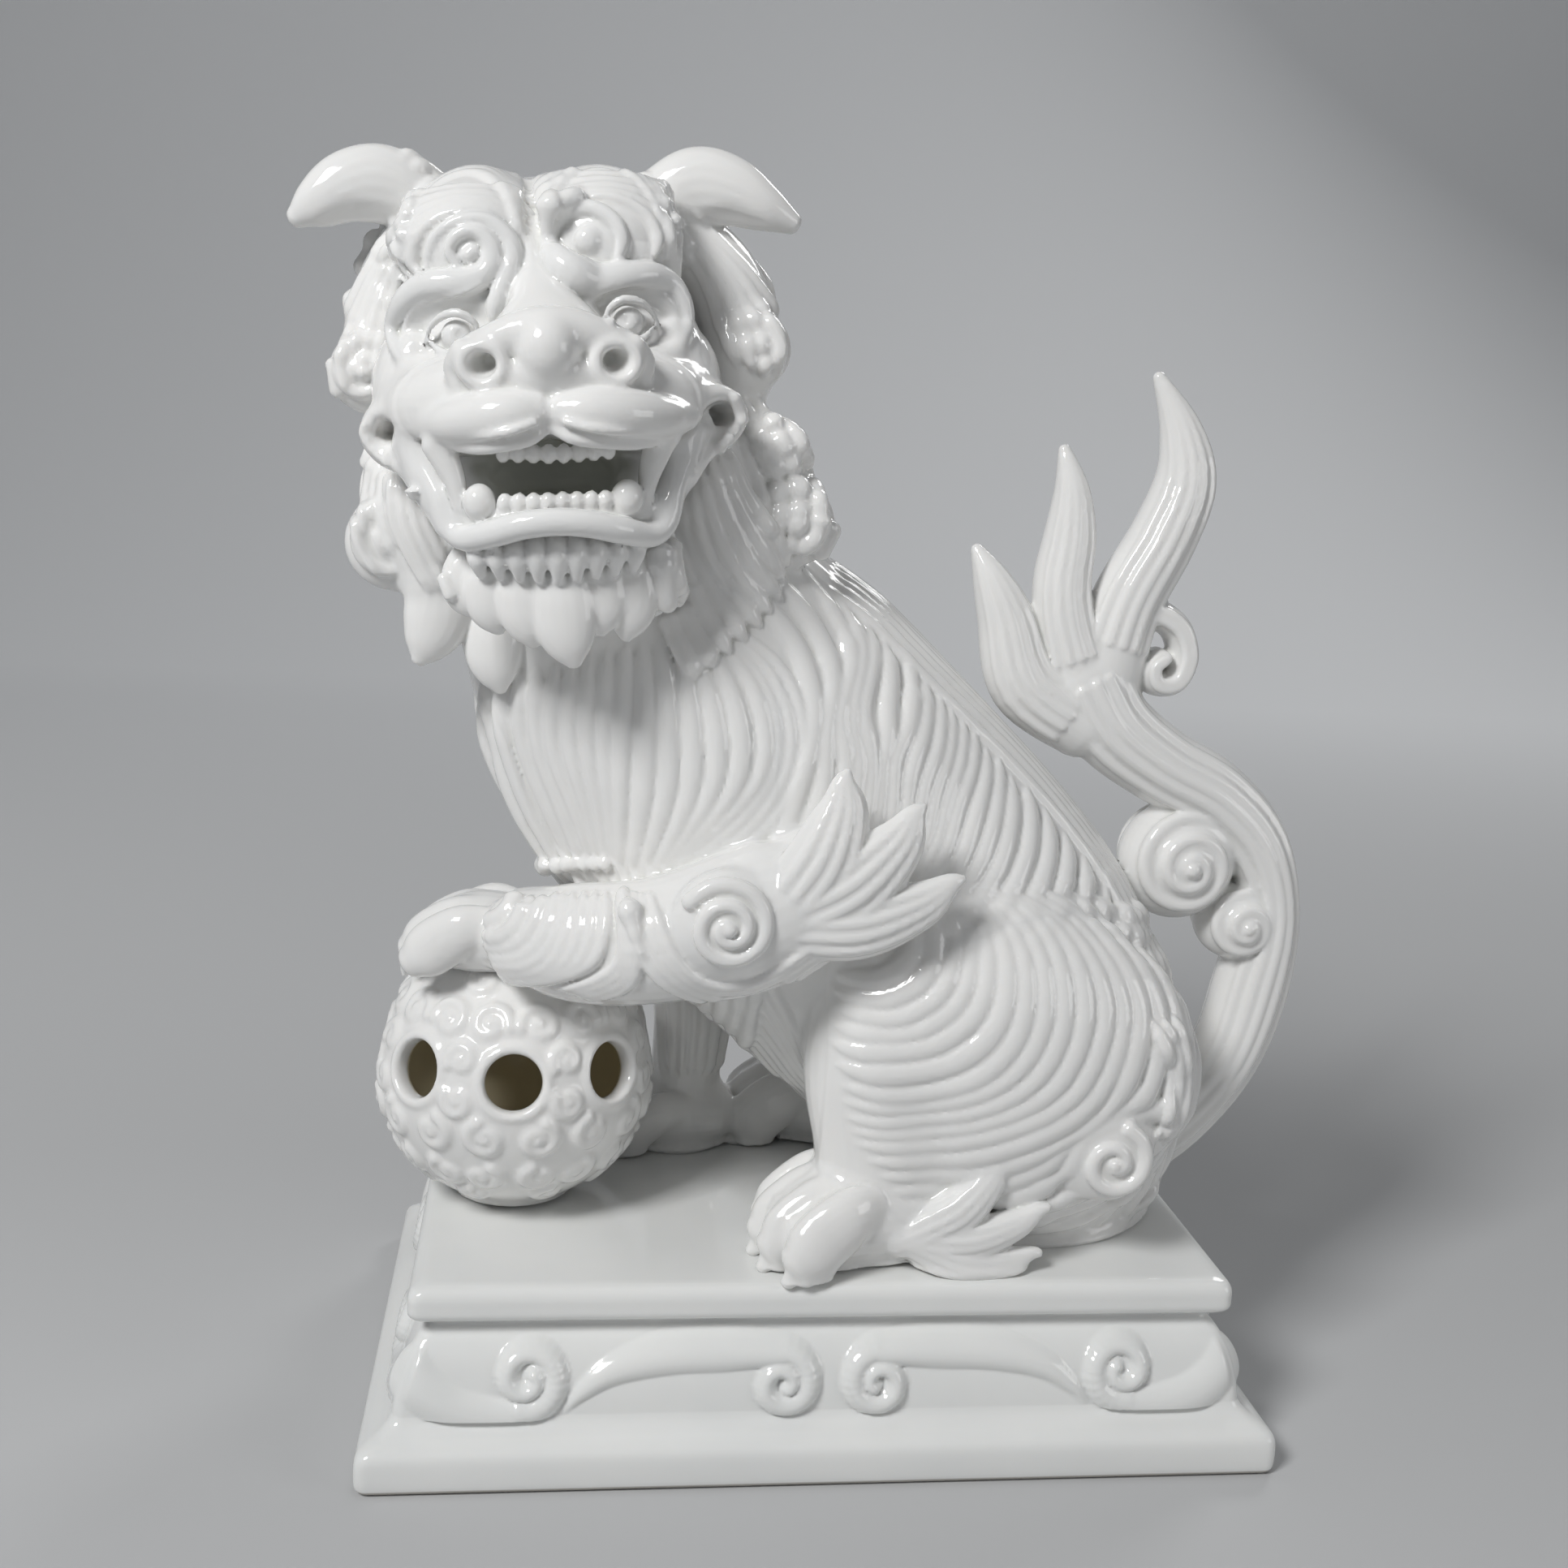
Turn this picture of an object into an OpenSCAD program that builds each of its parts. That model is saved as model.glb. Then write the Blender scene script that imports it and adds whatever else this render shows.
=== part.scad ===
// Seated foo dog in white porcelain: a guardian lion with its head turned to the viewer,
// one forepaw on a pierced ball, on a moulded rectangular plinth. Millimetres, +Z up.
// The origin is the centre of the plinth's foot. The lion faces -X and looks towards -Y.
// The figure is put together as the potter does: cast and hand-rolled pieces, each cut to
// seat on the one that carries it, and luted with slip.

/* [Plinth] */
// Length of the plinth's foot, left to right
plinth_length = 170; // [164:1:190]
// Depth of the plinth's foot, front to back
plinth_depth = 104; // [98:1:120]
// Height of the plinth
plinth_height = 35; // [32:0.5:42]
// Thickness of the plinth's wall and of its roof
plinth_wall = 5; // [3.5:0.5:7]
// Height of the foot moulding
foot_height = 9; // [7:0.5:11]
// Height of the top slab
slab_height = 7; // [5:0.5:8]
// Set-back of the top slab from the foot
slab_inset = 8.2; // [7:0.1:10]
// Depth of the neck under the top slab
neck_depth = 2.9; // [1.5:0.1:4]
// Height that the scrolls stand out of the frieze
scroll_relief = 1.4; // [0.8:0.1:2]
// Outer radius of the small scrolls on the frieze
scroll_radius = 6.2; // [5:0.1:7]

/* [Ball] */
// Diameter of the pierced ball
ball_d = 54; // [50:0.5:58]
// Thickness of the ball's wall
ball_wall = 3.6; // [2.5:0.1:5]
// Diameter of each round piercing
piercing_d = 11; // [8:0.5:13]
// Number of piercings round the ball
piercings = 8; // [6:1:10]
// Angle of the row of piercings above the middle of the ball
piercing_rise = 12; // [0:1:16]
// Place of the ball's centre, left to right
ball_x = -59.5; // [-61:0.5:-57]
// Place of the ball's centre, front to back
ball_y = 0.5; // [-2:0.5:3]
// Flat on which the ball stands, below its full round
ball_flat = 0.8; // [0.4:0.1:2]

/* [Body] */
// Height of the middle of the head above the slab
sitting_height = 161; // [157:0.5:166]
// Width of the chest, from side to side
chest_width = 62; // [56:1:68]
// Depth of the chest, from breast to back
chest_depth = 80; // [74:1:84]
// Width of the rump, from side to side
rump_width = 66; // [60:1:72]
// Depth of the rump, from belly to back
rump_depth = 72; // [66:1:76]
// Length of the haunch, from knee to rump
haunch_length = 66; // [60:1:70]
// Thickness of the haunch
haunch_thickness = 30; // [24:1:34]
// Thickness of a forearm
forearm_d = 22; // [19:0.5:25]
// Width of a paw
paw_width = 24; // [20:0.5:27]
// Length of a hind paw
paw_length = 27; // [23:0.5:30]
// Length of the longest prong of a flame tuft
tuft_length = 30; // [24:1:34]

/* [Head] */
// Width of the head across the cheeks
head_width = 56; // [52:0.5:60]
// Height of the head, from chin to crown
head_height = 66; // [62:0.5:70]
// Depth of the head, from nape to brow
head_depth = 50; // [46:0.5:54]
// Length of the muzzle in front of the brow
muzzle_length = 17; // [14:0.5:20]
// Width of the muzzle across the upper lips
muzzle_width = 43; // [39:0.5:46]
// Gape of the mouth, between the lips
gape = 13; // [10:0.5:15]
// Length of an ear
ear_length = 22; // [19:0.5:26]
// Width of an ear
ear_width = 13; // [10:0.5:15]
// Length of the beard below the chin
beard_length = 17; // [13:0.5:21]
// Lean of the head towards its right cheek, in degrees
head_lean = 4.9; // [0:0.5:8]
// Outer radius of the mane's curls
curl_radius = 9; // [7.5:0.5:10.5]

/* [Tail] */
// Thickness of the tail's stem at the rump
tail_d = 16; // [13:0.5:19]
// Height of the tail's tip above the slab
tail_height = 168; // [160:1:174]
// Outer radius of the tail's large curl
tail_curl_radius = 10; // [8.5:0.5:11]

/* [Hidden] */
$fn = 20;

glaze = [0.93, 0.93, 0.91];
tooth = [0.96, 0.96, 0.94];

// Half sizes that the figure's stations are built from
chest_w = chest_width / 2;
chest_d = chest_depth / 2;
rump_w = rump_width / 2;
rump_d = rump_depth / 2;
arm = forearm_d / 2;
paw = paw_width / 2;
ball_top = ball_d - ball_flat;
ball_centre = [ball_x, ball_y, ball_d / 2 - ball_flat];

// Middle of the head, above the slab's top
head_place = [-57, -14, sitting_height];
// How far the shoulders and the chest rise with the head
shoulder_rise = sitting_height - 161;
head_w = head_width / 2;
head_h = head_height / 2;
head_d = head_depth / 2;
brow_y = -head_d + 3;
nose_y = brow_y - muzzle_length + 1;
lip_w = muzzle_width / 2;
lip_top = -12;
lip_low = lip_top - gape;
chin = -head_h;

// ---- Curves and lofts ----

function unit(v) = v / norm(v);
function xyz(s) = [s[0], s[1], s[2]];
function held(p, i) = p[max(0, min(len(p) - 1, i))];

// A point of the smooth curve through p, t of the way from point i to the next
function between(p, i, t) =
    let (a = held(p, i - 1), b = held(p, i), c = held(p, i + 1), d = held(p, i + 2))
    0.5 * (2 * b + (c - a) * t + (2 * a - 5 * b + 4 * c - d) * t * t
        + (3 * b - a - 3 * c + d) * t * t * t);

// The smooth curve through p, with n steps to each span
function smooth(p, n) = concat(
    [for (i = [0:len(p) - 2], s = [0:n - 1]) between(p, i, s / n)], [p[len(p) - 1]]);

function heading(p, i) = unit(xyz(held(p, i + 1)) - xyz(held(p, i - 1)));

// The round end of a limb: rings that shrink towards a pole beyond station s, on the side of dir
function round_end(s, dir, bulge, caps) = let (reach = bulge * min(s[3], s[4]))
    [for (k = [1:caps]) let (a = 90 * k / (caps + 1))
        concat(xyz(s) + dir * reach * sin(a), [s[3] * cos(a), s[4] * cos(a)])];

function ring(s, dir, side, m) =
    let (u = unit(side - dir * (side * dir)), v = cross(dir, u))
    [for (j = [0:m - 1]) xyz(s) + u * s[3] * cos(360 * j / m) + v * s[4] * sin(360 * j / m)];

// A closed loft of elliptical sections along a smooth curve. Each station is
// [x, y, z, half size along side, half size across it].
module limb(stations, side = [0, 1, 0], m = 12, n = 2, bulge = 0.8, caps = 1) {
    p = smooth(stations, n);
    last = len(p) - 1;
    first_dir = heading(p, 0);
    last_dir = heading(p, last);
    tail_end = round_end(p[0], -first_dir, bulge, caps);
    nose_end = round_end(p[last], last_dir, bulge, caps);
    rings = concat(
        [for (k = [caps - 1:-1:0]) ring(tail_end[k], first_dir, side, m)],
        [for (i = [0:last]) ring(p[i], heading(p, i), side, m)],
        [for (k = [0:caps - 1]) ring(nose_end[k], last_dir, side, m)]);
    poles = [xyz(p[0]) - first_dir * bulge * min(p[0][3], p[0][4]),
        xyz(p[last]) + last_dir * bulge * min(p[last][3], p[last][4])];
    count = len(rings);
    points = concat([for (r = rings, q = r) q], poles);
    faces = concat(
        [for (i = [0:count - 2], j = [0:m - 1]) let (k = (j + 1) % m)
            each [[i * m + j, (i + 1) * m + j, (i + 1) * m + k], [i * m + j, (i + 1) * m + k, i * m + k]]],
        [for (j = [0:m - 1]) [count * m, j, (j + 1) % m]],
        [for (j = [0:m - 1]) [count * m + 1, (count - 1) * m + (j + 1) % m, (count - 1) * m + j]]);
    polyhedron(points, faces, convexity = 8);
}

// A spiral roll of clay that winds in from the outside, lying in the XZ plane and facing -Y.
// start is the angle of its outer end; hand is 1 or -1; lift raises its middle.
function spiral(radius, stock, turns, start, hand, lift = 0, n = 6) =
    [for (k = [0:round(n * turns)]) let (t = k / round(n * turns),
        a = start + hand * 360 * turns * t, r = (radius - stock) * (1 - 0.86 * t))
        [r * cos(a), -lift * t, r * sin(a), stock * (1 - 0.35 * t), stock * (1 - 0.4 * t)]];

module curl(radius, stock, turns, start, hand, lift = 0, m = 5) {
    limb(spiral(radius, stock, turns, start, hand, lift), m = m, n = 1);
}

module ball_of(at, r, detail = 10) {
    translate(at) scale(r) sphere(1, $fn = detail);
}

// Cut seats and luted joins are worked out on one mesh
module luted() {
    resize([0, 0, 0]) children();
}

module on_slab() {
    translate([0, 0, plinth_height]) children();
}

module mirrored_pair() {
    children();
    mirror([1, 0, 0]) children();
}

module in_head() {
    on_slab() translate(head_place) rotate([0, -head_lean, 0]) children();
}

// ---- Plinth ----

// Half profile of the moulding, as [set-back from the foot, height], from the foot upwards
neck_back = slab_inset + neck_depth;
ogee_low = foot_height + 4.5;
ogee_bulge = neck_depth + 1.6;
slab_low = plinth_height - slab_height;
function arc(c, r, from, to, n = 4) =
    [for (k = [0:n]) let (a = from + (to - from) * k / n) [c[0] + r[0] * cos(a), c[1] + r[1] * sin(a)]];
moulding = concat(
    arc([1.5, 1.5], [1.5, 1.5], 270, 180, 3),
    arc([1.8, foot_height - 2], [1.8, 2], 180, 100),
    arc([neck_back, ogee_low], [ogee_bulge, slab_low - ogee_low - 2.5], 180, 105),
    [[neck_back, slab_low - 1.2]],
    arc([slab_inset + 2, plinth_height - 3.5], [2, 2.2], 220, 180, 3),
    arc([slab_inset + 3.5, plinth_height - 3.5], [3.5, 3.5], 180, 90));

module moulded_side(length, width) {
    half = width / 2;
    rotate([90, 0, 90]) translate([0, 0, -length / 2]) linear_extrude(length)
        polygon(concat([for (p = moulding) [p[0] - half, p[1]]],
            [for (i = [len(moulding) - 1:-1:0]) [half - moulding[i][0], moulding[i][1]]]));
}

// The solid outside form of the plinth: its four sides mitre at the corners
module plinth_block() {
    intersection() {
        moulded_side(plinth_length, plinth_depth);
        rotate(90) moulded_side(plinth_depth, plinth_length);
    }
}

module plinth() {
    cavity = [plinth_length, plinth_depth] - [1, 1] * 2 * (neck_back + plinth_wall);
    color(glaze) difference() {
        plinth_block();
        translate([-cavity[0] / 2, -cavity[1] / 2, -1])
            cube([cavity[0], cavity[1], plinth_height - plinth_wall + 1]);
    }
}

// How far the frieze's face lies behind the foot's face, z above the ground
function frieze_back(z) = z < ogee_low
    ? neck_back - ogee_bulge - (ogee_low - z) * (neck_back - ogee_bulge - 1.6) / (ogee_low - foot_height)
    : neck_back - ogee_bulge * sqrt(max(0, 1 - pow((z - ogee_low) / (slab_low - ogee_low - 2.5), 2)));

// The scrolls of one half of a frieze, on the face at y = 0, from its middle at x = 0 to its
// corner at x = -half. A fleshy stem rises at the corner, sweeps under and winds up. On the long
// sides a second stem arches on to the middle.
module half_frieze(half, arched) {
    r = scroll_radius;
    stock = scroll_radius * 0.36;
    relief = scroll_relief * 1.25;
    outer = [-half + r * 3.6, ogee_low + 5];
    inner = [-r * 1.28, ogee_low + 2.6];
    function seated(p) = [p[0], frieze_back(p[2]), p[2], p[3], p[4]];
    function rolled(at, start, hand) =
        [for (p = spiral(r, stock * 0.85, 1.3, start, hand, n = 5)) seated([p[0] + at[0], 0, p[2] + at[1], relief, p[4]])];
    limb(concat([seated([-half + r * 0.2, 0, outer[1] + 2, relief, stock]),
        seated([-half + r * 0.9, 0, outer[1] - r * 0.8, relief, stock * 1.4]),
        seated([-half + r * 2.1, 0, outer[1] - r * 1.1, relief, stock * 1.3])], rolled(outer, 262, 1)), m = 5, n = 1);
    if (arched) limb(concat([seated([outer[0] + r, 0, outer[1] - r * 0.95, relief * 0.4, 0.5]),
        seated([outer[0] * 0.68 + inner[0] * 0.32, 0, inner[1] + r * 0.85, relief * 0.8, stock]),
        seated([outer[0] * 0.4 + inner[0] * 0.6, 0, inner[1] + r * 1.1, relief, stock * 1.4])], rolled(inner, 90, -1)),
        m = 5, n = 1);
}

module frieze_scrolls() {
    color(glaze) luted() difference() {
        for (a = [0, 180]) {
            rotate(a) translate([0, -plinth_depth / 2, 0])
                mirrored_pair() half_frieze(plinth_length / 2 - slab_inset + 0.5, true);
            rotate(a + 90) translate([0, -plinth_length / 2, 0])
                mirrored_pair() half_frieze(plinth_depth / 2 - slab_inset + 0.5, false);
        }
        plinth_block();
    }
}

// ---- Ball ----

module ball_block() {
    on_slab() intersection() {
        translate(ball_centre) sphere(d = ball_d, $fn = 40);
        translate([ball_x, ball_y, 0]) cylinder(d = ball_d + 2, h = ball_d);
    }
}

module ball() {
    color(glaze) difference() {
        on_slab() difference() {
            translate(ball_centre) sphere(d = ball_d, $fn = 40);
            translate(ball_centre) sphere(d = ball_d - 2 * ball_wall, $fn = 40);
            translate([ball_x, ball_y, -ball_d]) cylinder(d = ball_d + 2, h = ball_d);
            for (i = [0:piercings - 1]) {
                translate(ball_centre) rotate([90 - piercing_rise, 0, 360 * i / piercings])
                    cylinder(d = piercing_d, h = ball_d);
            }
        }
    }
}

// ---- Body ----

module torso_form() {
    limb([[-46, 0, 127 + shoulder_rise, chest_w - 4, chest_d - 9],
        [-25, 0, 97 + shoulder_rise * 0.6, chest_w, chest_d + 1],
        [2, 0, 72.5 + shoulder_rise * 0.2, chest_w + 1, chest_d + 1], [27, 0, 48, rump_w, rump_d + 4],
        [40, 0, 27, rump_w - 1, rump_d], [42, 0, 9, rump_w - 3, rump_d - 4]], m = 16, caps = 2);
}

// Everything that stands on the slab stops at its top
module above_slab() {
    intersection() {
        children();
        translate([-120, -80, 0]) cube([240, 160, 240]);
    }
}

module torso() {
    color(glaze) luted() difference() {
        on_slab() above_slab() torso_form();
        in_head() mouth_space();
    }
}

// One hind leg: the haunch, then the shank. s is -1 on the left side.
module hind_leg_form(s) {
    t = haunch_thickness / 2;
    l = haunch_length / 2;
    limb([[14, s * 24, 52, t - 3, l - 14], [26, s * 25, 44, t, l - 5], [39, s * 25, 32, t, l],
        [46, s * 22, 20, t, l - 3]], m = 12);
    limb([[17, s * 26, 52, t - 3, l - 13], [9, s * 27, 38, t - 4, l - 18], [9, s * 28, 22, t - 5, l - 21],
        [11, s * 28, 8, t - 5, l - 21]], m = 10, n = 1);
}

module hind_leg(s) {
    color(glaze) luted() on_slab() difference() {
        above_slab() hind_leg_form(s);
        torso_form();
    }
}

// A paw that points along -X from its wrist: the pad, then four toes with their knuckles
module paw_form(length, width, height) {
    spread = width * 0.25;
    limb([[length * 0.42, 0, height * 0.5, width * 0.38, height * 0.42],
        [0, 0, height * 0.52, width * 0.46, height * 0.5],
        [-length * 0.3, 0, height * 0.45, width * 0.44, height * 0.42]], m = 10, n = 1);
    for (i = [-1.5:1.5]) {
        back = abs(i) * 0.1;
        limb([[-length * (0.16 - back), i * spread, height * 0.56, spread * 0.68, height * 0.4],
            [-length * (0.46 - back), i * spread * 1.08, height * 0.34, spread * 0.62, height * 0.34]],
            m = 6, n = 1);
    }
}

module hind_paw_place(s) {
    translate([0.8, s * 31, -0.5]) rotate(s * -10) paw_form(paw_length, paw_width, 17);
}

module hind_paw(s) {
    color(glaze) luted() on_slab() difference() {
        above_slab() hind_paw_place(s);
        hind_leg_form(s);
        torso_form();
    }
}

// A flame-shaped tuft of hair: locks that fan out of one root. Each lock is
// [length, angle above +X in degrees, half width].
module tuft_form(locks, depth = 3.4) {
    for (l = locks) {
        c = cos(l[1]);
        d = sin(l[1]);
        bend = l[0] * 0.1;
        limb([[0, 0, 0, depth, l[2] * 0.9], [l[0] * 0.45 * c + bend * d, -0.6, l[0] * 0.45 * d - bend * c, depth, l[2]],
            [l[0] * c, 0, l[0] * d, 1, 0.9]], m = 6);
    }
}

module hock_tuft(s) {
    color(glaze) luted() on_slab() difference() {
        above_slab() translate([14, s * 36.5, 7.5]) rotate(s * 4) tuft_form([[tuft_length * 0.8, 42, 4.6],
            [tuft_length * 0.9, 12, 4.2], [tuft_length * 0.86, -8, 4]]);
        hind_paw_place(s);
        hind_leg_form(s);
        torso_form();
    }
}

// The left foreleg lies across the chest, with its paw on the ball
elbow_at = [-14, -34, 69];
wrist_at = [ball_x + 2, ball_y - 17, ball_top + 5.5];

module left_foreleg_form() {
    limb([concat(elbow_at + [7, 2, 5], [arm - 1, arm - 1]), concat(elbow_at, [arm + 1, arm + 1.5]),
        [-33, -32, 62, arm, arm + 0.5], [-49, -25, 59, arm - 1, arm], concat(wrist_at, [arm - 1, arm - 2.6])], m = 10);
}

module left_paw_form() {
    translate([ball_x - 7.5, ball_y - 9, ball_top - 5]) rotate([0, -16, -16]) paw_form(paw_length, paw_width, 16);
}

module left_foreleg() {
    color(glaze) luted() difference() {
        on_slab() {
            left_foreleg_form();
            left_paw_form();
        }
        on_slab() torso_form();
        ball_block();
    }
}

// The right foreleg stands on the slab
module right_foreleg_form() {
    limb([[-24, 19, 74, arm, arm + 3], [-25, 24, 54, arm - 1, arm], [-23, 25, 32, arm - 3, arm - 3],
        [-24, 25, 10, arm - 3.5, arm - 3.5], [-25, 25, 2, arm - 3, arm - 3]], m = 10);
    translate([-29, 25, -0.5]) paw_form(paw_length, paw_width - 2, 15);
}

module right_foreleg() {
    color(glaze) luted() on_slab() difference() {
        above_slab() right_foreleg_form();
        torso_form();
    }
}

module elbow_locks() {
    tuft_form([[tuft_length * 0.9, 67, 6], [tuft_length * 1.06, 36, 5.4], [tuft_length * 1.12, 9, 5.2]], 4);
}

module left_elbow_tuft() {
    color(glaze) luted() difference() {
        on_slab() translate(elbow_at) {
            translate([0, -7, 1.5]) elbow_locks();
            translate([-7, -10.5, -1.5]) curl(9, 2.2, 1.8, 200, -1, 2, 4);
        }
        on_slab() left_foreleg_form();
        on_slab() torso_form();
        on_slab() hind_leg_form(-1);
    }
}

module right_elbow_tuft() {
    color(glaze) luted() on_slab() difference() {
        translate([-18, 31, 52]) elbow_locks();
        right_foreleg_form();
        hind_leg_form(1);
        torso_form();
    }
}

// ---- Head ----

module skull_form() {
    limb([[0, 4, 20, head_w * 0.6, head_d * 0.7], [0, 1, 15, head_w * 0.8, head_d * 0.88],
        [0, 0, 5, head_w * 0.92, head_d], [0, 0, -8, head_w * 0.94, head_d * 0.98],
        [0, 3, -20, head_w * 0.84, head_d * 0.86], [0, 6, 2 - head_h, head_w * 0.6, head_d * 0.64]],
        side = [1, 0, 0], m = 12, n = 1, bulge = 0.5);
}

module muzzle_form() {
    limb([[0, brow_y + 9, 3, 12, 8], [0, brow_y + 1, 3.5, 9, 6.5], [0, nose_y + 7, 3, 7.6, 6],
        [0, nose_y + 3, 1.5, 7, 5.5]], side = [1, 0, 0], m = 9, n = 1);
    mirrored_pair() {
        limb([[4, nose_y + 8, -6, 6, 5.5], [10, nose_y + 8, -6.4, 6.6, 6], [17, nose_y + 14, -7, 6.4, 6.5],
            [lip_w + 1, nose_y + 25, -8, 6, 6]], side = [0, 0, 1], m = 6, n = 1);
        limb([[8, nose_y + 11, -1, 5, 3.6], [9.5, nose_y + 5, -1, 4.4, 3.2], [8, nose_y + 3, -0.6, 3.6, 2.6]],
            side = [0, 0, 1], m = 6, n = 1);
    }
}

// The open mouth: a slot between the jaws that runs back into the head
module mouth_space() {
    half = lip_w - 4;
    translate([0, nose_y + 22, (lip_top + lip_low) / 2]) rotate([90, 0, 0])
        linear_extrude(30, scale = [1.25, 1.3], center = true) polygon([[-half, 2], [-half * 0.8, gape * 0.45],
            [0, gape * 0.55], [half * 0.8, gape * 0.45], [half, 2], [half * 0.7, -gape * 0.55],
            [0, -gape * 0.5], [-half * 0.7, -gape * 0.55]]);
}

module head_form() {
    skull_form();
    muzzle_form();
    mirrored_pair() {
        ball_of([9.3, -6, head_h - 13.5], [11.5, 14, 13.5], 8);
        ball_of([18, -13, -4], [11, 10, 12], 8);
        limb([[24, -9, -6, 4, 5], [27, -12, -10, 4.5, 5], [25, -12, -17, 4.5, 5]], m = 6, n = 1);
    }
}

module head() {
    color(glaze) luted() difference() {
        in_head() difference() {
            head_form();
            mouth_space();
            mirrored_pair() translate([10.8, nose_y + 5, -1]) rotate([90, 0, 18]) cylinder(d = 5, h = 14, center = true, $fn = 6);
        }
        on_slab() torso_form();
    }
}

// One brow: a roll that leaves the outer corner of the eye, dips, climbs and winds into a spiral
module brow_form() {
    turns = spiral(8, 2.4, 1.4, 190, -1, 1.5, n = 7);
    eye_end = [[13, 3.4, -14, 1.4, 1], [11, 1.6, -10.5, 2, 2], [5, 1, -9.5, 2.4, 2.4], [-2.5, 0.6, -9.5, 2.5, 2.5],
        [-6, 0.2, -5.5, 2.4, 2.4]];
    limb(concat(eye_end, turns), m = 6, n = 1);
}

module brows() {
    color(glaze) luted() difference() {
        in_head() mirrored_pair() translate([10, brow_y + 1, 19.5]) rotate([12, 0, 14]) brow_form();
        in_head() head_form();
    }
}

module eyes_form() {
    mirrored_pair() translate([16.5, brow_y + 2.6, 6.4]) {
        ball_of([0, 0, 0], [4.6, 4.2, 4], 7);
        rotate(16) {
            limb([[-6, -1, -1, 1.2, 1], [-2.5, -4, 3, 1.4, 1.3], [3, -4, 3, 1.4, 1.3], [7, 0, -1.5, 1, 1]], m = 4, n = 1);
            limb([[-6, -1, -1.6, 1, 1], [-2, -3.6, -3.4, 1.2, 1.1], [3, -3.4, -3.6, 1.2, 1.1], [7, 0, -2, 1, 1]], m = 4, n = 1);
        }
    }
}

module eyes() {
    color(glaze) luted() difference() {
        in_head() eyes_form();
        in_head() head_form();
    }
}

module jaw_form() {
    low_y = nose_y + 6;
    limb([[-25.3, low_y + 20.6, lip_top + 2, 2.8, 2.8], [-22.1, low_y + 13, lip_top - 4, 3.2, 3.2],
        [-16, low_y + 5, lip_low - 1.4, 3, 3], [-8, low_y + 1, lip_low - 0.8, 3, 3], [0, low_y, lip_low, 3, 3],
        [8, low_y + 1, lip_low - 0.8, 3, 3], [16, low_y + 5, lip_low - 1.4, 3, 3],
        [22.1, low_y + 13, lip_top - 4, 3.2, 3.2], [25.3, low_y + 20.6, lip_top + 2, 2.8, 2.8]], side = [0, 0, 1], m = 6, n = 1);
    limb([[0, -6, lip_low - 1, 21, 5], [0, -12, lip_low - 3, 20, 6.5], [0, low_y + 9, lip_low - 4, 14, 6.5],
        [0, low_y + 5, lip_low - 5, 10, 5]], side = [1, 0, 0], m = 10, n = 1);
    for (i = [-2:2]) {
        ball_of([i * 5.1, low_y + 3.1 + abs(i) * 1.3, chin + 3 + abs(i) * 0.4], [2.9, 2.9, 4.7], 6);
    }
}

module lower_jaw() {
    color(glaze) luted() difference() {
        in_head() jaw_form();
        in_head() difference() {
            head_form();
            mouth_space();
        }
        on_slab() torso_form();
    }
}

module teeth_form() {
    front = nose_y + 11;
    for (i = [-2:2]) {
        ball_of([i * 3.6, front + abs(i) * 0.9, lip_top + 0.6 - abs(i) * 0.35], [2, 1.9, 3], 5);
    }
    for (i = [-2.5:2.5]) {
        ball_of([i * 3.4, front + 1 + abs(i) * 0.9, lip_low + 2.6 + abs(i) * 0.2], [1.9, 2, 2.6], 5);
    }
    mirrored_pair() {
        limb([[16.2, front + 4.5, lip_top + 2, 2.6, 2.6], [16.6, front + 3.5, lip_top - 4, 2.2, 2.2],
            [15.6, front + 3, lip_top - 8.5, 0.8, 0.8]], m = 6, n = 1);
        ball_of([14.4, front + 5, lip_low + 3], [2.9, 2.9, 4], 7);
    }
}

module teeth() {
    color(tooth) luted() difference() {
        in_head() teeth_form();
        in_head() difference() {
            head_form();
            mouth_space();
        }
        in_head() jaw_form();
    }
}

// A folded ear like a leaf, along +X from its root: it climbs, droops and turns up at the tip
module ear_form() {
    l = ear_length;
    half = ear_width / 2;
    difference() {
        limb([[-4, 0, -2, 4, 4], [1, -1, 2.4, 4.4, half * 0.8], [l * 0.34, -2, 4.2, 4.6, half],
            [l * 0.68, -2, 0.8, 4, half * 0.76], [l * 0.97, -1, -3.4, 2, 2]], m = 9);
        limb([[l * 0.1, -5, -1.5, 2, 1.6], [l * 0.4, -6, -0.5, 2.4, 2.4], [l * 0.75, -4.5, -3, 1.6, 1.6]], m = 7, n = 1);
    }
}

module ear_place(s) {
    in_head() translate([s * 22.5 + 1.5, 0, 28]) scale([s, 1, 1]) rotate(-4) ear_form();
}

module ear(s) {
    color(glaze) luted() difference() {
        ear_place(s);
        in_head() head_form();
    }
}

// A pointed lock of hair that hangs from its root
module lock(at, reach, sway, width) {
    limb([concat(at, [width * 0.8, width * 0.7]), concat(at + [sway * 0.3, -1, -reach * 0.5], [width * 0.9, width * 0.7]),
        concat(at + [sway, 0.6, -reach], [0.8, 0.8])], side = [1, 0, 0], m = 6, n = 1);
}

module beard_form() {
    y = nose_y + 15;
    for (i = [-3:3]) {
        lock([i * 4.7, y + abs(i) * 1.9, chin + 2 + abs(i) * 1.3], beard_length + 1 - abs(i) * 2.4, i * 0.9, 4.4);
    }
}

module beard() {
    color(glaze) luted() difference() {
        in_head() beard_form();
        in_head() jaw_form();
        in_head() head_form();
        on_slab() torso_form();
    }
}

// ---- Mane ----

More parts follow.
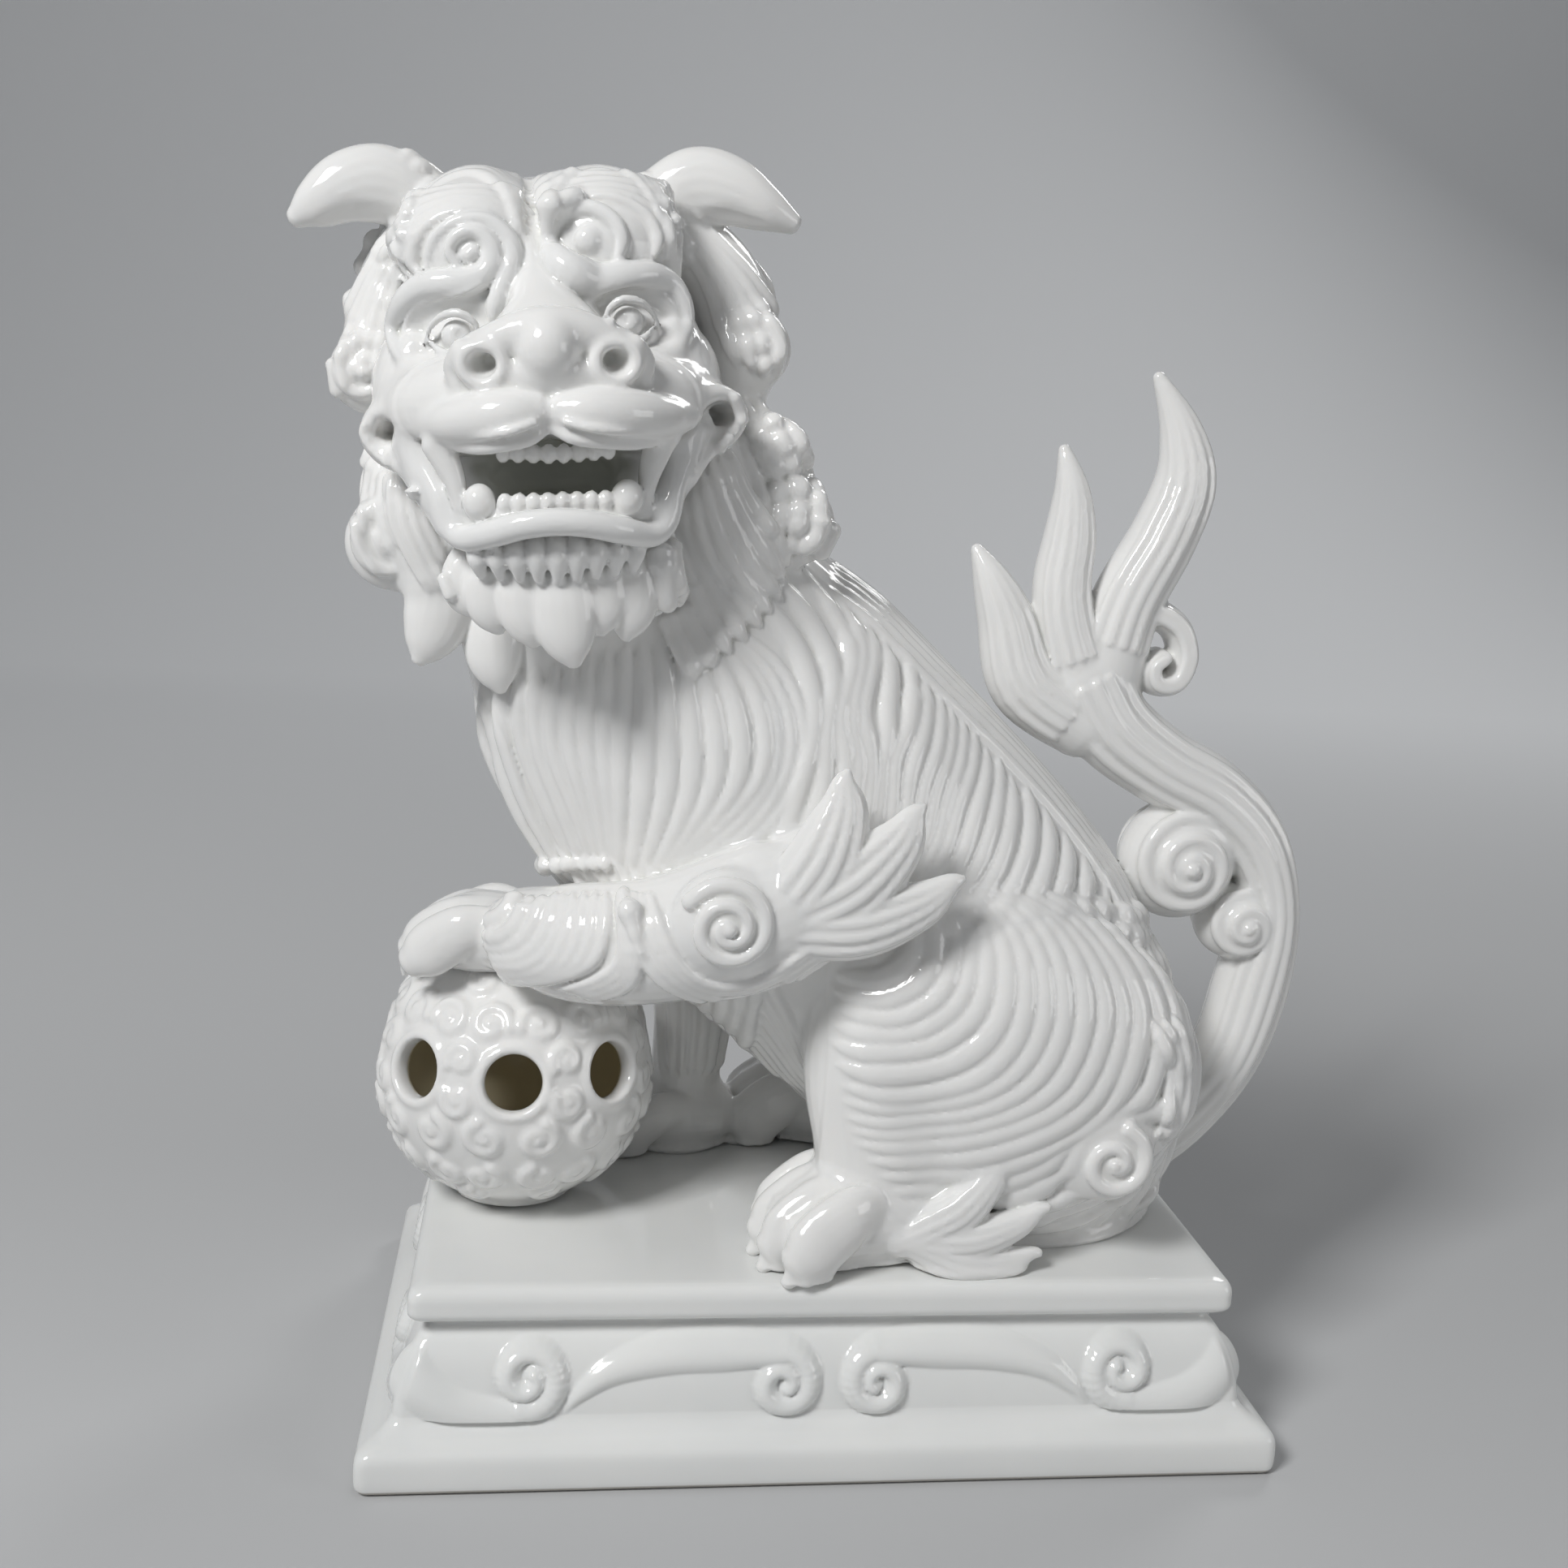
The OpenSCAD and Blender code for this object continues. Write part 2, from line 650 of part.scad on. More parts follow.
// Swept hair beside the face, in two rolls that end in curls. s is -1 at the viewer's left,
// where the hair lies closer to the cheek.
module mane_form(s) {
    r = curl_radius;
    spread = s > 0 ? 6.5 : 0;
    low = s > 0 ? 1.5 : 0;
    scale([s, 1, 1]) {
        limb([[19 + spread / 2, 5, 26, 7, 7], [26 + spread, 4, 16, 8, 8], [29.5 + spread, 3, 4, 8, r],
            [27 + spread, 3, -6, 7, 7]], m = 8, n = 1);
        limb([[24.5 + spread, 3.2, -6.5, 7, 7], [27 + spread * 1.9, 2, -17 - low, 8, r], [27 + spread * 2, 1, -28, 8, r],
            [21 + spread * 1.8, 4, -40 + low, 7, 7]], m = 8, n = 1);
        translate([32 + spread, -3.6, 2]) curl(r - 3.5, 1.9, 1.4, 60, -1, 1, 4);
        translate([29 + spread * 1.4, -4.6, -15.3]) curl(r - 3.5, 1.9, 1.4, 60, -1, 1, 4);
        translate([28 + spread * 2, -5.2, -28]) curl(r - 2, 2, 1.5, 60, -1, 1, 4);
        lock([20 + spread, 3, -34], 17, 8, 6.5);
        lock([13 + spread, 5, -38], 20, 1, 6);
    }
}

module mane(s) {
    color(glaze) luted() difference() {
        in_head() mane_form(s);
        in_head() head_form();
        in_head() jaw_form();
        in_head() beard_form();
        on_slab() torso_form();
        ear_place(s);
    }
}

// The mane that falls from the back of the head on to the shoulders
module nape_mane_form() {
    limb([[0, 11, 22, 18, 10], [1, 20, 8, 25, 12], [3, 23, -12, 30, 13], [7, 20, -32, 29, 12], [11, 14, -48, 23, 9]],
        side = [1, 0, 0], m = 12);
}

module nape_mane() {
    color(glaze) luted() difference() {
        in_head() nape_mane_form();
        in_head() head_form();
        in_head() mane_form(-1);
        in_head() mane_form(1);
        in_head() jaw_form();
        on_slab() torso_form();
        ear_place(-1);
        ear_place(1);
    }
}

// ---- Tail ----

module tail_form() {
    w = tail_d / 2;
    rise = tail_height - 168;
    limb([[66, 0, 8, w, w], [78, 0, 17, w, w - 0.5], [88, 0, 30, w, w - 1], [92.5, 0, 46, w, w - 0.5],
        [94.5, 0, 62, w, w - 3], [89, 0, 76, w, w - 1], [79, 0, 86, w, w], [67, 0, 92, w, w + 0.5],
        [57, 0, 99, w, w + 1.5], [49, 0, 107, w - 0.5, w + 2]], m = 8);
    limb([[51, 0, 103, w - 1, 8], [38, 0, 113, w - 1.5, 7.5], [31, 0, 122, w - 2.5, 6], [25.5, 0, 130.5, 1.2, 1.4]], m = 6);
    limb([[50, 0, 108, w - 1, 8], [45.5, 0, 124, w - 1.5, 6.4], [44.5, 0, 138, w - 2.5, 5.2],
        [42, 0, 152 + rise / 2, 1.2, 1.4]], m = 6);
    limb([[54, 0, 106, w - 1, 9], [57, 0, 122, w - 1, 7.5], [65, 0, 136, w - 1.5, 8], [68, 0, 150 + rise / 2, w - 3, 6.4],
        [63.5, 0, 161 + rise, w - 5, 4], [60, 0, 167 + rise, 1.2, 1.4]], m = 6);
}

module tail() {
    color(glaze) luted() on_slab() difference() {
        tail_form();
        torso_form();
    }
}

module tail_curl(at, r, start) {
    w = tail_d / 2;
    translate(at) {
        rotate([90, 0, 0]) cylinder(r = r, h = 2 * w - 2, center = true, $fn = 12);
        translate([0, -w + 1.2, 0]) curl(r + 0.6, r * 0.22, 1.6, start, -1, 1.2, 4);
    }
}

module tail_curls() {
    r = tail_curl_radius;
    color(glaze) luted() on_slab() difference() {
        union() {
            tail_curl([73, 0, 72], r + 3, 80);
            tail_curl([86.4, 0, 61], r - 1, 60);
            tail_curl([64, 0, 112], r - 3.5, 110);
        }
        tail_form();
        torso_form();
    }
}

plinth();
frieze_scrolls();
ball();
torso();
hind_leg(-1);  // left_hind_leg
hind_leg(1);  // right_hind_leg
hind_paw(-1);  // left_hind_paw
hind_paw(1);  // right_hind_paw
hock_tuft(-1);  // left_hock_tuft
hock_tuft(1);  // right_hock_tuft
left_foreleg();
right_foreleg();
left_elbow_tuft();
right_elbow_tuft();
head();
brows();
eyes();
lower_jaw();
teeth();
ear(-1);  // left_ear
ear(1);  // right_ear
beard();
mane(-1);  // left_mane
mane(1);  // right_mane
nape_mane();
tail();
tail_curls();
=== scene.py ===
import math

import bpy
import numpy as np
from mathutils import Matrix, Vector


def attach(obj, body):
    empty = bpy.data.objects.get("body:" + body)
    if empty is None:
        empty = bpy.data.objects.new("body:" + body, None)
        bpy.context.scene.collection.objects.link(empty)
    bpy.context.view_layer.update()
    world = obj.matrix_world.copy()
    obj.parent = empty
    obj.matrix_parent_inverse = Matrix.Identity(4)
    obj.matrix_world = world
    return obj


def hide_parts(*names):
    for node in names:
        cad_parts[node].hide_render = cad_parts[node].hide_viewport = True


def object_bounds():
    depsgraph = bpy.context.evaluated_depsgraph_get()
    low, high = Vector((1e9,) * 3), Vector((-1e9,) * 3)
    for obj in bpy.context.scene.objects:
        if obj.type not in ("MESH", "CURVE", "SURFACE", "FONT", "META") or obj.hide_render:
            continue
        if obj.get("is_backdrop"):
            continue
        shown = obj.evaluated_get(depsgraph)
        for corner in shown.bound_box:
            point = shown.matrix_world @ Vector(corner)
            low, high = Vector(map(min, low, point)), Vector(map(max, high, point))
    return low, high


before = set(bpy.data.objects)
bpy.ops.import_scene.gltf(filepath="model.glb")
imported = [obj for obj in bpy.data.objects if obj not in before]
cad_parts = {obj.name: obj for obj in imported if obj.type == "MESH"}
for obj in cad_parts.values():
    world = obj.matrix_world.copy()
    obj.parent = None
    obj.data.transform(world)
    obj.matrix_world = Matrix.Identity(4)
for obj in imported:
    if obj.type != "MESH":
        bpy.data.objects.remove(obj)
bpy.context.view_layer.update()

import openvdb as vdb
from mathutils import Matrix, Vector

# Sizes below are in millimetres, in the frame's own axes, and become metres when a mesh is made.
MM = 0.001
SLAB = 35.0
SIDES = ((-1, "left"), (1, "right"))
# The clay's grid: its pitch, and how many steps of distance are kept on each side of a surface
SKIN = 0.48
BAND = 7
# How far a piece's closing rim goes in, and how deep its back is dished
RIM = 1.2
BACK = 0.6


# ---- Curves and rolls of clay ----

def unit(v):
    """The same directions, at length 1."""
    return v / np.maximum(np.linalg.norm(v, axis=-1, keepdims=True), 1e-9)


def smooth_path(stations, steps):
    """The smooth curve through the stations, with every column carried along."""
    p = np.array(stations, float)
    q = np.vstack([p[:1], p, p[-1:]])
    t = (np.arange(steps) / steps)[:, None]
    spans = []
    for a, b, c, d in zip(q, q[1:], q[2:], q[3:]):
        spans.append(0.5 * (2 * b + (c - a) * t + (2 * a - 5 * b + 4 * c - d) * t ** 2
                            + (3 * b - a - 3 * c + d) * t ** 3))
    spans.append(p[-1:])
    return np.vstack(spans)


def even(points, count):
    """The smooth curve through the points, as count points evenly spaced along it."""
    p = smooth_path(points, 12)
    run = np.concatenate([[0], np.cumsum(np.linalg.norm(np.diff(p[:, :3], axis=0), axis=1))])
    at = np.linspace(0, run[-1], count)
    return np.stack([np.interp(at, run, p[:, k]) for k in range(p.shape[1])], axis=1)


def swept(p, side, around=20, bulge=0.8, caps=3):
    """A closed roll of clay through rows of [x, y, z, half size along side, half size across it]."""
    middle = p[:, :3]
    heading = unit(np.gradient(middle, axis=0))
    side = np.broadcast_to(np.array(side, float), middle.shape)
    u = unit(side - heading * (side * heading).sum(1, keepdims=True))
    v = np.cross(heading, u)
    rows, us, vs = [], [], []
    for end, way in ((0, -1), (-1, 1)):
        reach = bulge * min(p[end, 3], p[end, 4])
        cap = []
        for k in range(1, caps + 1):
            a = math.pi / 2 * k / (caps + 1)
            at = middle[end] + way * heading[end] * reach * math.sin(a)
            cap.append([*at, p[end, 3] * math.cos(a), p[end, 4] * math.cos(a)])
        if end == 0:
            rows += cap[::-1] + list(p[:, :5])
            us += [u[0]] * caps + list(u)
            vs += [v[0]] * caps + list(v)
            first_pole = middle[0] - heading[0] * reach
        else:
            rows += cap
            us += [u[-1]] * caps
            vs += [v[-1]] * caps
            last_pole = middle[-1] + heading[-1] * reach
    rows, us, vs = np.array(rows), np.array(us), np.array(vs)
    a = np.linspace(0, 2 * math.pi, around, endpoint=False)
    ring = (rows[:, None, :3] + us[:, None] * (rows[:, 3:4] * np.cos(a))[..., None]
            + vs[:, None] * (rows[:, 4:5] * np.sin(a))[..., None])
    n = len(rows)
    points = np.vstack([ring.reshape(-1, 3), first_pole, last_pole])
    i, j = np.meshgrid(np.arange(n - 1), np.arange(around), indexing="ij")
    k = (j + 1) % around
    quads = np.stack([i * around + j, i * around + k, (i + 1) * around + k, (i + 1) * around + j],
                     axis=-1).reshape(-1, 4)
    j = np.arange(around)
    k = (j + 1) % around
    tris = np.vstack([np.stack([np.full(around, n * around), k, j], axis=1),
                      np.stack([np.full(around, n * around + 1), (n - 1) * around + j,
                                (n - 1) * around + k], axis=1)])
    return points, quads, tris


def roll(stations, side=(0, 1, 0), steps=8, around=24, bulge=0.8):
    """A closed roll of clay along the smooth curve through its stations."""
    return swept(smooth_path(stations, steps), side, around, bulge)


def together(meshes):
    """Several meshes as one, which then take a single step to lay on."""
    points, quads, tris, base = [], [], [], 0
    for p, q, t in meshes:
        points.append(p)
        quads.append(q + base)
        tris.append(t + base)
        base += len(p)
    return np.vstack(points), np.vstack(quads), np.vstack(tris)


def egg(at, radii, rings=19, around=36):
    """An ellipsoid, as a roll with round ends."""
    tilt = np.radians(np.linspace(-84, 84, rings))
    rows = np.stack([0 * tilt, 0 * tilt, np.sin(tilt), np.cos(tilt), np.cos(tilt)], axis=1)
    points, quads, tris = swept(rows, (1, 0, 0), around, 0.05, 0)
    return points * np.array(radii, float) + np.array(at, float), quads, tris


def mirrored(stations):
    """The stations of the other side."""
    return [[-s[0], *s[1:]] for s in stations]


# ---- The clay: a solid kept as distances on a fine grid ----

class Clay:
    """Distances to the surface on a grid, negative inside. Each cell also names the node it belongs to."""

    def __init__(self, low, high, pitch):
        self.pitch = pitch
        self.origin = np.floor(np.array(low) / pitch).astype(int)
        self.shape = np.ceil(np.array(high) / pitch).astype(int) - self.origin + 1
        self.far = BAND * pitch
        self.field = np.full(self.shape, self.far, np.float32)
        self.owner = np.zeros(self.shape, np.uint8)
        self.nodes = []

    def local(self, mesh):
        """The mesh as distances, over its own corner of the grid."""
        points, quads, tris = mesh
        low = np.floor(points.min(0) / self.pitch).astype(int) - BAND
        high = np.ceil(points.max(0) / self.pitch).astype(int) + BAND
        low = np.maximum(low, self.origin)
        high = np.minimum(high, self.origin + self.shape - 1)
        if (high <= low).any():
            return None, None
        grid = vdb.FloatGrid.createLevelSetFromPolygons(
            points.astype(np.float32), triangles=tris.astype(np.uint32), quads=quads.astype(np.uint32),
            transform=vdb.createLinearTransform(voxelSize=self.pitch), halfWidth=BAND)
        part = np.empty(high - low + 1, np.float32)
        grid.copyToArray(part, ijk=tuple(int(v) for v in low))
        low = low - self.origin
        high = high - self.origin + 1
        return part, tuple(slice(a, b) for a, b in zip(low, high))

    def add(self, mesh, node=None, blend=1.0):
        """Puts the mesh on, with a fillet of about blend. Without a node, the clay keeps its owners."""
        part, where = self.local(mesh)
        if part is None:
            return
        old = self.field[where]
        if node is not None:
            if node not in self.nodes:
                self.nodes.append(node)
            self.owner[where][part < old] = self.nodes.index(node)
        soft = np.maximum(blend - np.abs(part - old), 0)
        np.minimum(old, part, out=old)
        old -= soft * soft / (4 * blend)

    def cut(self, mesh, blend=0.6, node=None):
        """Carves the mesh out of the clay. Its walls may be given to one node."""
        part, where = self.local(mesh)
        if part is None:
            return
        part = -part
        if node is not None:
            self.owner[where][part > -1.5] = self.nodes.index(node)
        old = self.field[where]
        soft = np.maximum(blend - np.abs(part - old), 0)
        np.maximum(old, part, out=old)
        old += soft * soft / (4 * blend)

    def sample(self, p):
        """Distances at the points, between the grid's cells."""
        q = np.asarray(p) / self.pitch - self.origin
        i = np.clip(np.floor(q).astype(int), 0, self.shape - 2)
        f = np.clip(q - i, 0, 1)
        value = 0
        for dx in (0, 1):
            for dy in (0, 1):
                for dz in (0, 1):
                    w = (np.abs(1 - dx - f[..., 0]) * np.abs(1 - dy - f[..., 1])
                         * np.abs(1 - dz - f[..., 2]))
                    value = value + w * self.field[i[..., 0] + dx, i[..., 1] + dy, i[..., 2] + dz]
        return value

    def normals(self, p):
        """Which way the surface faces near the points."""
        axes = np.eye(3) * 1.2
        return unit(np.stack([self.sample(p + a) - self.sample(p - a) for a in axes], axis=-1))

    def settle(self, start, way, reach=120.0):
        """Where lines from start meet the clay. Lines that miss it come back as not-a-number."""
        steps = np.arange(0, reach, 0.5)
        way = np.broadcast_to(np.array(way, float), start.shape)
        d = self.sample(start[:, None] + way[:, None] * steps[:, None])
        inside = d < 0
        first = np.argmax(inside, axis=1)
        hit = inside.any(axis=1) & (first > 0)
        first = np.maximum(first, 1)
        rows = np.arange(len(start))
        a, b = d[rows, first - 1], d[rows, first]
        at = steps[first - 1] + 0.5 * a / np.where(hit, a - b, 1)
        found = start + way * at[:, None]
        found[~hit] = np.nan
        return found

    def skin(self):
        """The surface as points and quads."""
        grid = vdb.FloatGrid(self.far)
        grid.copyFromArray(self.field, ijk=tuple(int(v) for v in self.origin))
        grid.transform = vdb.createLinearTransform(voxelSize=self.pitch)
        grid.gridClass = vdb.GridClass.LEVEL_SET
        points, quads = grid.convertToQuads(isovalue=0.0)
        return np.array(points, float), np.array(quads, np.int64)


# ---- Skins: the clay's surface, shared out between the pieces ----

def edges_of(quads):
    """Each edge once, as one number that holds its two ends."""
    e = np.vstack([quads[:, [0, 1]], quads[:, [1, 2]], quads[:, [2, 3]], quads[:, [3, 0]]])
    e = np.sort(e, axis=1)
    return np.unique(e[:, 0] * (int(quads.max()) + 1) + e[:, 1])


def spread(values, a, b, count, rounds):
    """Averages the values over the mesh's edges a few times."""
    for _ in range(rounds):
        if values.ndim == 1:
            near = np.bincount(a, values[b], len(values)) + np.bincount(b, values[a], len(values))
            values = 0.5 * values + 0.5 * near / count
        else:
            values = np.stack([spread(values[:, k], a, b, count, 1) for k in range(values.shape[1])],
                              axis=1)
    return values


def vertex_normals(points, quads):
    """Which way the skin faces at each point."""
    d = np.cross(points[quads[:, 2]] - points[quads[:, 0]], points[quads[:, 3]] - points[quads[:, 1]])
    n = np.stack([np.bincount(quads.ravel(), np.repeat(d[:, k], 4), len(points)) for k in range(3)],
                 axis=1)
    return unit(n)


def make_mesh(name, points, faces_list, attributes, normals):
    """One piece, from points in millimetres and a list of face arrays."""
    mesh = bpy.data.meshes.new(name)
    sizes = np.concatenate([np.full(len(f), f.shape[1]) for f in faces_list if len(f)])
    loops = np.concatenate([f.ravel() for f in faces_list if len(f)])
    mesh.vertices.add(len(points))
    mesh.vertices.foreach_set("co", (points * MM).astype(np.float32).ravel())
    mesh.loops.add(len(loops))
    mesh.loops.foreach_set("vertex_index", loops.astype(np.int32))
    mesh.polygons.add(len(sizes))
    mesh.polygons.foreach_set("loop_start", np.concatenate([[0], np.cumsum(sizes)[:-1]]).astype(np.int32))
    mesh.update(calc_edges=True)
    mesh.shade_smooth()
    for key, values in attributes.items():
        layer = mesh.attributes.new(key, "FLOAT", "POINT")
        layer.data.foreach_set("value", values.astype(np.float32))
    if normals is not None:
        mesh.normals_split_custom_set_from_vertices(normals.astype(np.float32).tolist())
    thing = bpy.data.objects.new(name, mesh)
    bpy.context.scene.collection.objects.link(thing)
    return thing


def share_out(points, quads, owner_of_face, names, attributes, normals, sunk={}, shells=(), hearts={}):
    """Cuts a skin into one closed piece for each name. Each gets a rim turned inwards and a back.
    A piece in sunk runs on under the pieces named there. A piece in shells is a thin shell.
    A piece in hearts has its largest back drawn in to the point given there."""
    made = {}
    for index, name in enumerate(names):
        seen = owner_of_face == index
        if not seen.any():
            continue
        under = np.isin(owner_of_face, [names.index(other) for other in sunk.get(name, ())])
        used, inverse = np.unique(quads[seen | under], return_inverse=True)
        own = inverse.reshape(-1, 4)
        p, n = points[used], normals[used]
        low = ~np.isin(used, quads[seen])
        p = p - n * (RIM * low)[:, None]
        faces = [own]
        extra = {k: v[used] for k, v in attributes.items()}
        e = np.vstack([own[:, [0, 1]], own[:, [1, 2]], own[:, [2, 3]], own[:, [3, 0]]])
        rim = e[~np.isin(e[:, 0] * len(p) + e[:, 1], e[:, 1] * len(p) + e[:, 0])]
        a, b = rim[:, 0], rim[:, 1]
        if name in shells:
            faces.append(own[:, ::-1] + len(p))
            faces.append(np.stack([b, a, a + len(p), b + len(p)], axis=1))
            extra = {k: np.concatenate([v, v]) for k, v in extra.items()}
            p, n = np.vstack([p, p - n * RIM * 0.5]), np.vstack([n, -n])
        elif len(rim):
            at_rim = np.unique(rim)
            inner = np.full(len(p), -1)
            inner[at_rim] = len(p) + np.arange(len(at_rim))
            # the rim's loops, found by handing the lowest number along them
            loop = np.arange(len(p))
            while True:
                least = np.minimum(loop[a], loop[b])
                before = loop.copy()
                np.minimum.at(loop, a, least)
                np.minimum.at(loop, b, least)
                loop = loop[loop]
                if (loop == before).all():
                    break
            _, loop_of = np.unique(loop[at_rim], return_inverse=True)
            set_back = p[at_rim] - n[at_rim] * RIM
            count = np.bincount(loop_of)
            centre = np.stack([np.bincount(loop_of, set_back[:, k]) / count for k in range(3)], axis=1)
            centre_n = np.stack([np.bincount(loop_of, n[at_rim, k]) / count for k in range(3)], axis=1)
            deep = np.minimum(0.3 + 0.02 * count, 6.0) if name in hearts else np.full(len(count), BACK)
            centre = centre - unit(centre_n) * deep[:, None]
            if name in hearts:
                centre[count.argmax()] = hearts[name]
            pole_of = np.zeros(len(p), int)
            pole_of[at_rim] = (len(p) + len(at_rim) + np.arange(len(centre)))[loop_of]
            faces.append(np.stack([b, a, inner[a], inner[b]], axis=1))
            faces.append(np.stack([inner[b], inner[a], pole_of[a]], axis=1))
            p = np.vstack([p, set_back, centre])
            n = np.vstack([n, n[at_rim], np.tile([0.0, 0.0, 1.0], (len(centre), 1))])
            for k in extra:
                extra[k] = np.concatenate([extra[k], extra[k][at_rim], np.zeros(len(centre))])
        made[name] = make_mesh(name, p, faces, extra, n)
    return made


def finish_skin(clay, rounds=2):
    """The clay's skin, evened out: points, quads, each quad's node, normals and how hollow it lies."""
    points, quads = clay.skin()
    code = edges_of(quads)
    a, b = code // (int(quads.max()) + 1), code % (int(quads.max()) + 1)
    count = np.maximum(np.bincount(a, minlength=len(points)) + np.bincount(b, minlength=len(points)), 1)
    for _ in range(rounds):
        points = points + 0.9 * (spread(points, a, b, count, 1) - points)
        points = points - 0.94 * (spread(points, a, b, count, 1) - points)
    normals = vertex_normals(points, quads)
    inside = clay.sample(points - normals * 0.8).mean()
    if inside > 0:
        quads = quads[:, ::-1]
        normals = -normals
    # how hollow each point lies; the glaze's darker second colour goes there, partly glaze pooling and
    # partly painted shade in the creases
    bend = (normals * (spread(points, a, b, count, 4) - points)).sum(1)
    hollow = spread(bend, a, b, count, 6)
    hollow = np.clip(hollow / 0.35 * 0.46 / clay.pitch, -1, 1)
    cell = np.round(points / clay.pitch).astype(int) - clay.origin
    cell = np.clip(cell, 0, clay.shape - 1)
    label = clay.owner[cell[:, 0], cell[:, 1], cell[:, 2]]
    votes = np.zeros((len(points), len(clay.nodes)), np.float32)
    votes[np.arange(len(points)), label] = 1
    votes = spread(votes, a, b, count, 12)
    face_votes = votes[quads].sum(1)
    return points, quads, face_votes.argmax(1), normals, hollow


# ---- Hair: strands laid side by side on the clay ----

def fan(guides, counts, samples):
    """Strands between guide curves: counts[i] of them from guide i up to the next."""
    curves = [even(g, samples) for g in guides]
    strands = []
    for a, b, n in zip(curves, curves[1:], counts):
        strands += [a + (b - a) * k / n for k in range(n)]
    return strands + [curves[-1]]


def comb(guides, counts, start_and_way, samples=26, plump=0.52, thick=0.5, sink=0.06, widest=4.8,
         narrowest=1.0, blend=0.22, taper=0.12, keep=None):
    """Lays a sheaf of strands on the figure. Each is as wide as its neighbours leave room for.
    Where keep is given, the strands lie only where it says so."""
    laid = np.array([figure.settle(*start_and_way(strand)) for strand in fan(guides, counts, samples)])
    if keep is not None:
        laid[~keep(laid)] = np.nan
    gap = np.linalg.norm(np.diff(laid, axis=0), axis=2)
    gap = np.where(np.isnan(gap) | (gap > 6), 2.4, gap)
    room = np.vstack([gap[:1], (gap[1:] + gap[:-1]) / 2, gap[-1:]])
    rolls = []
    for line, width in zip(laid, room):
        fine = ~np.isnan(line).any(axis=1)
        step = np.linalg.norm(np.diff(line, axis=0), axis=1)
        usual = np.nanmedian(step) if fine.sum() > 1 else 1
        joined = np.concatenate([[False], fine[1:] & fine[:-1] & (step < 3.2 * usual + 1)])
        starts = np.flatnonzero(fine & ~joined)
        for a in starts:
            b = a + 1
            while b < len(line) and joined[b]:
                b += 1
            if b - a < 4:
                continue
            p = line[a:b]
            w = np.clip(width[a:b], narrowest, widest)
            n = figure.normals(p)
            n = unit(np.vstack([n[:1], (n[:-2] + n[1:-1] + n[2:]) / 3, n[-1:]]))
            t = np.linspace(0, 1, len(p))
            ease = np.sqrt(np.clip(np.minimum(t / taper, (1 - t) / taper), 0.05, 1))
            half = w * plump * ease
            high = np.maximum(w * thick * ease, 0.25)
            side = np.cross(np.gradient(p, axis=0), n)
            rows = np.column_stack([p - n * (sink * w)[:, None], half, high])
            fine_rows = smooth_path(np.column_stack([rows, side]), 2)
            rolls.append(swept(fine_rows[:, :5], fine_rows[:, 5:8], 12, 0.8, 2))
    if rolls:
        figure.add(together(rolls), blend=blend)


# ---- Materials ----

def wire(tree, kind, feeds=(), values=(), **settings):
    """A new node of the tree: its settings, its fixed inputs, and what feeds the others."""
    node = tree.nodes.new(kind)
    for key, value in settings.items():
        setattr(node, key, value)
    for key, value in values:
        node.inputs[key].default_value = value
    for key, socket in feeds:
        tree.links.new(socket, node.inputs[key])
    return node


def shade(tree, feed, *stops):
    """A run of colour between two stops, each a place and a colour."""
    node = wire(tree, "ShaderNodeValToRGB", [("Fac", feed)])
    for element, (position, colour) in zip(node.color_ramp.elements, stops):
        element.position = position
        element.color = (*colour, 1)
    return node.outputs["Color"]


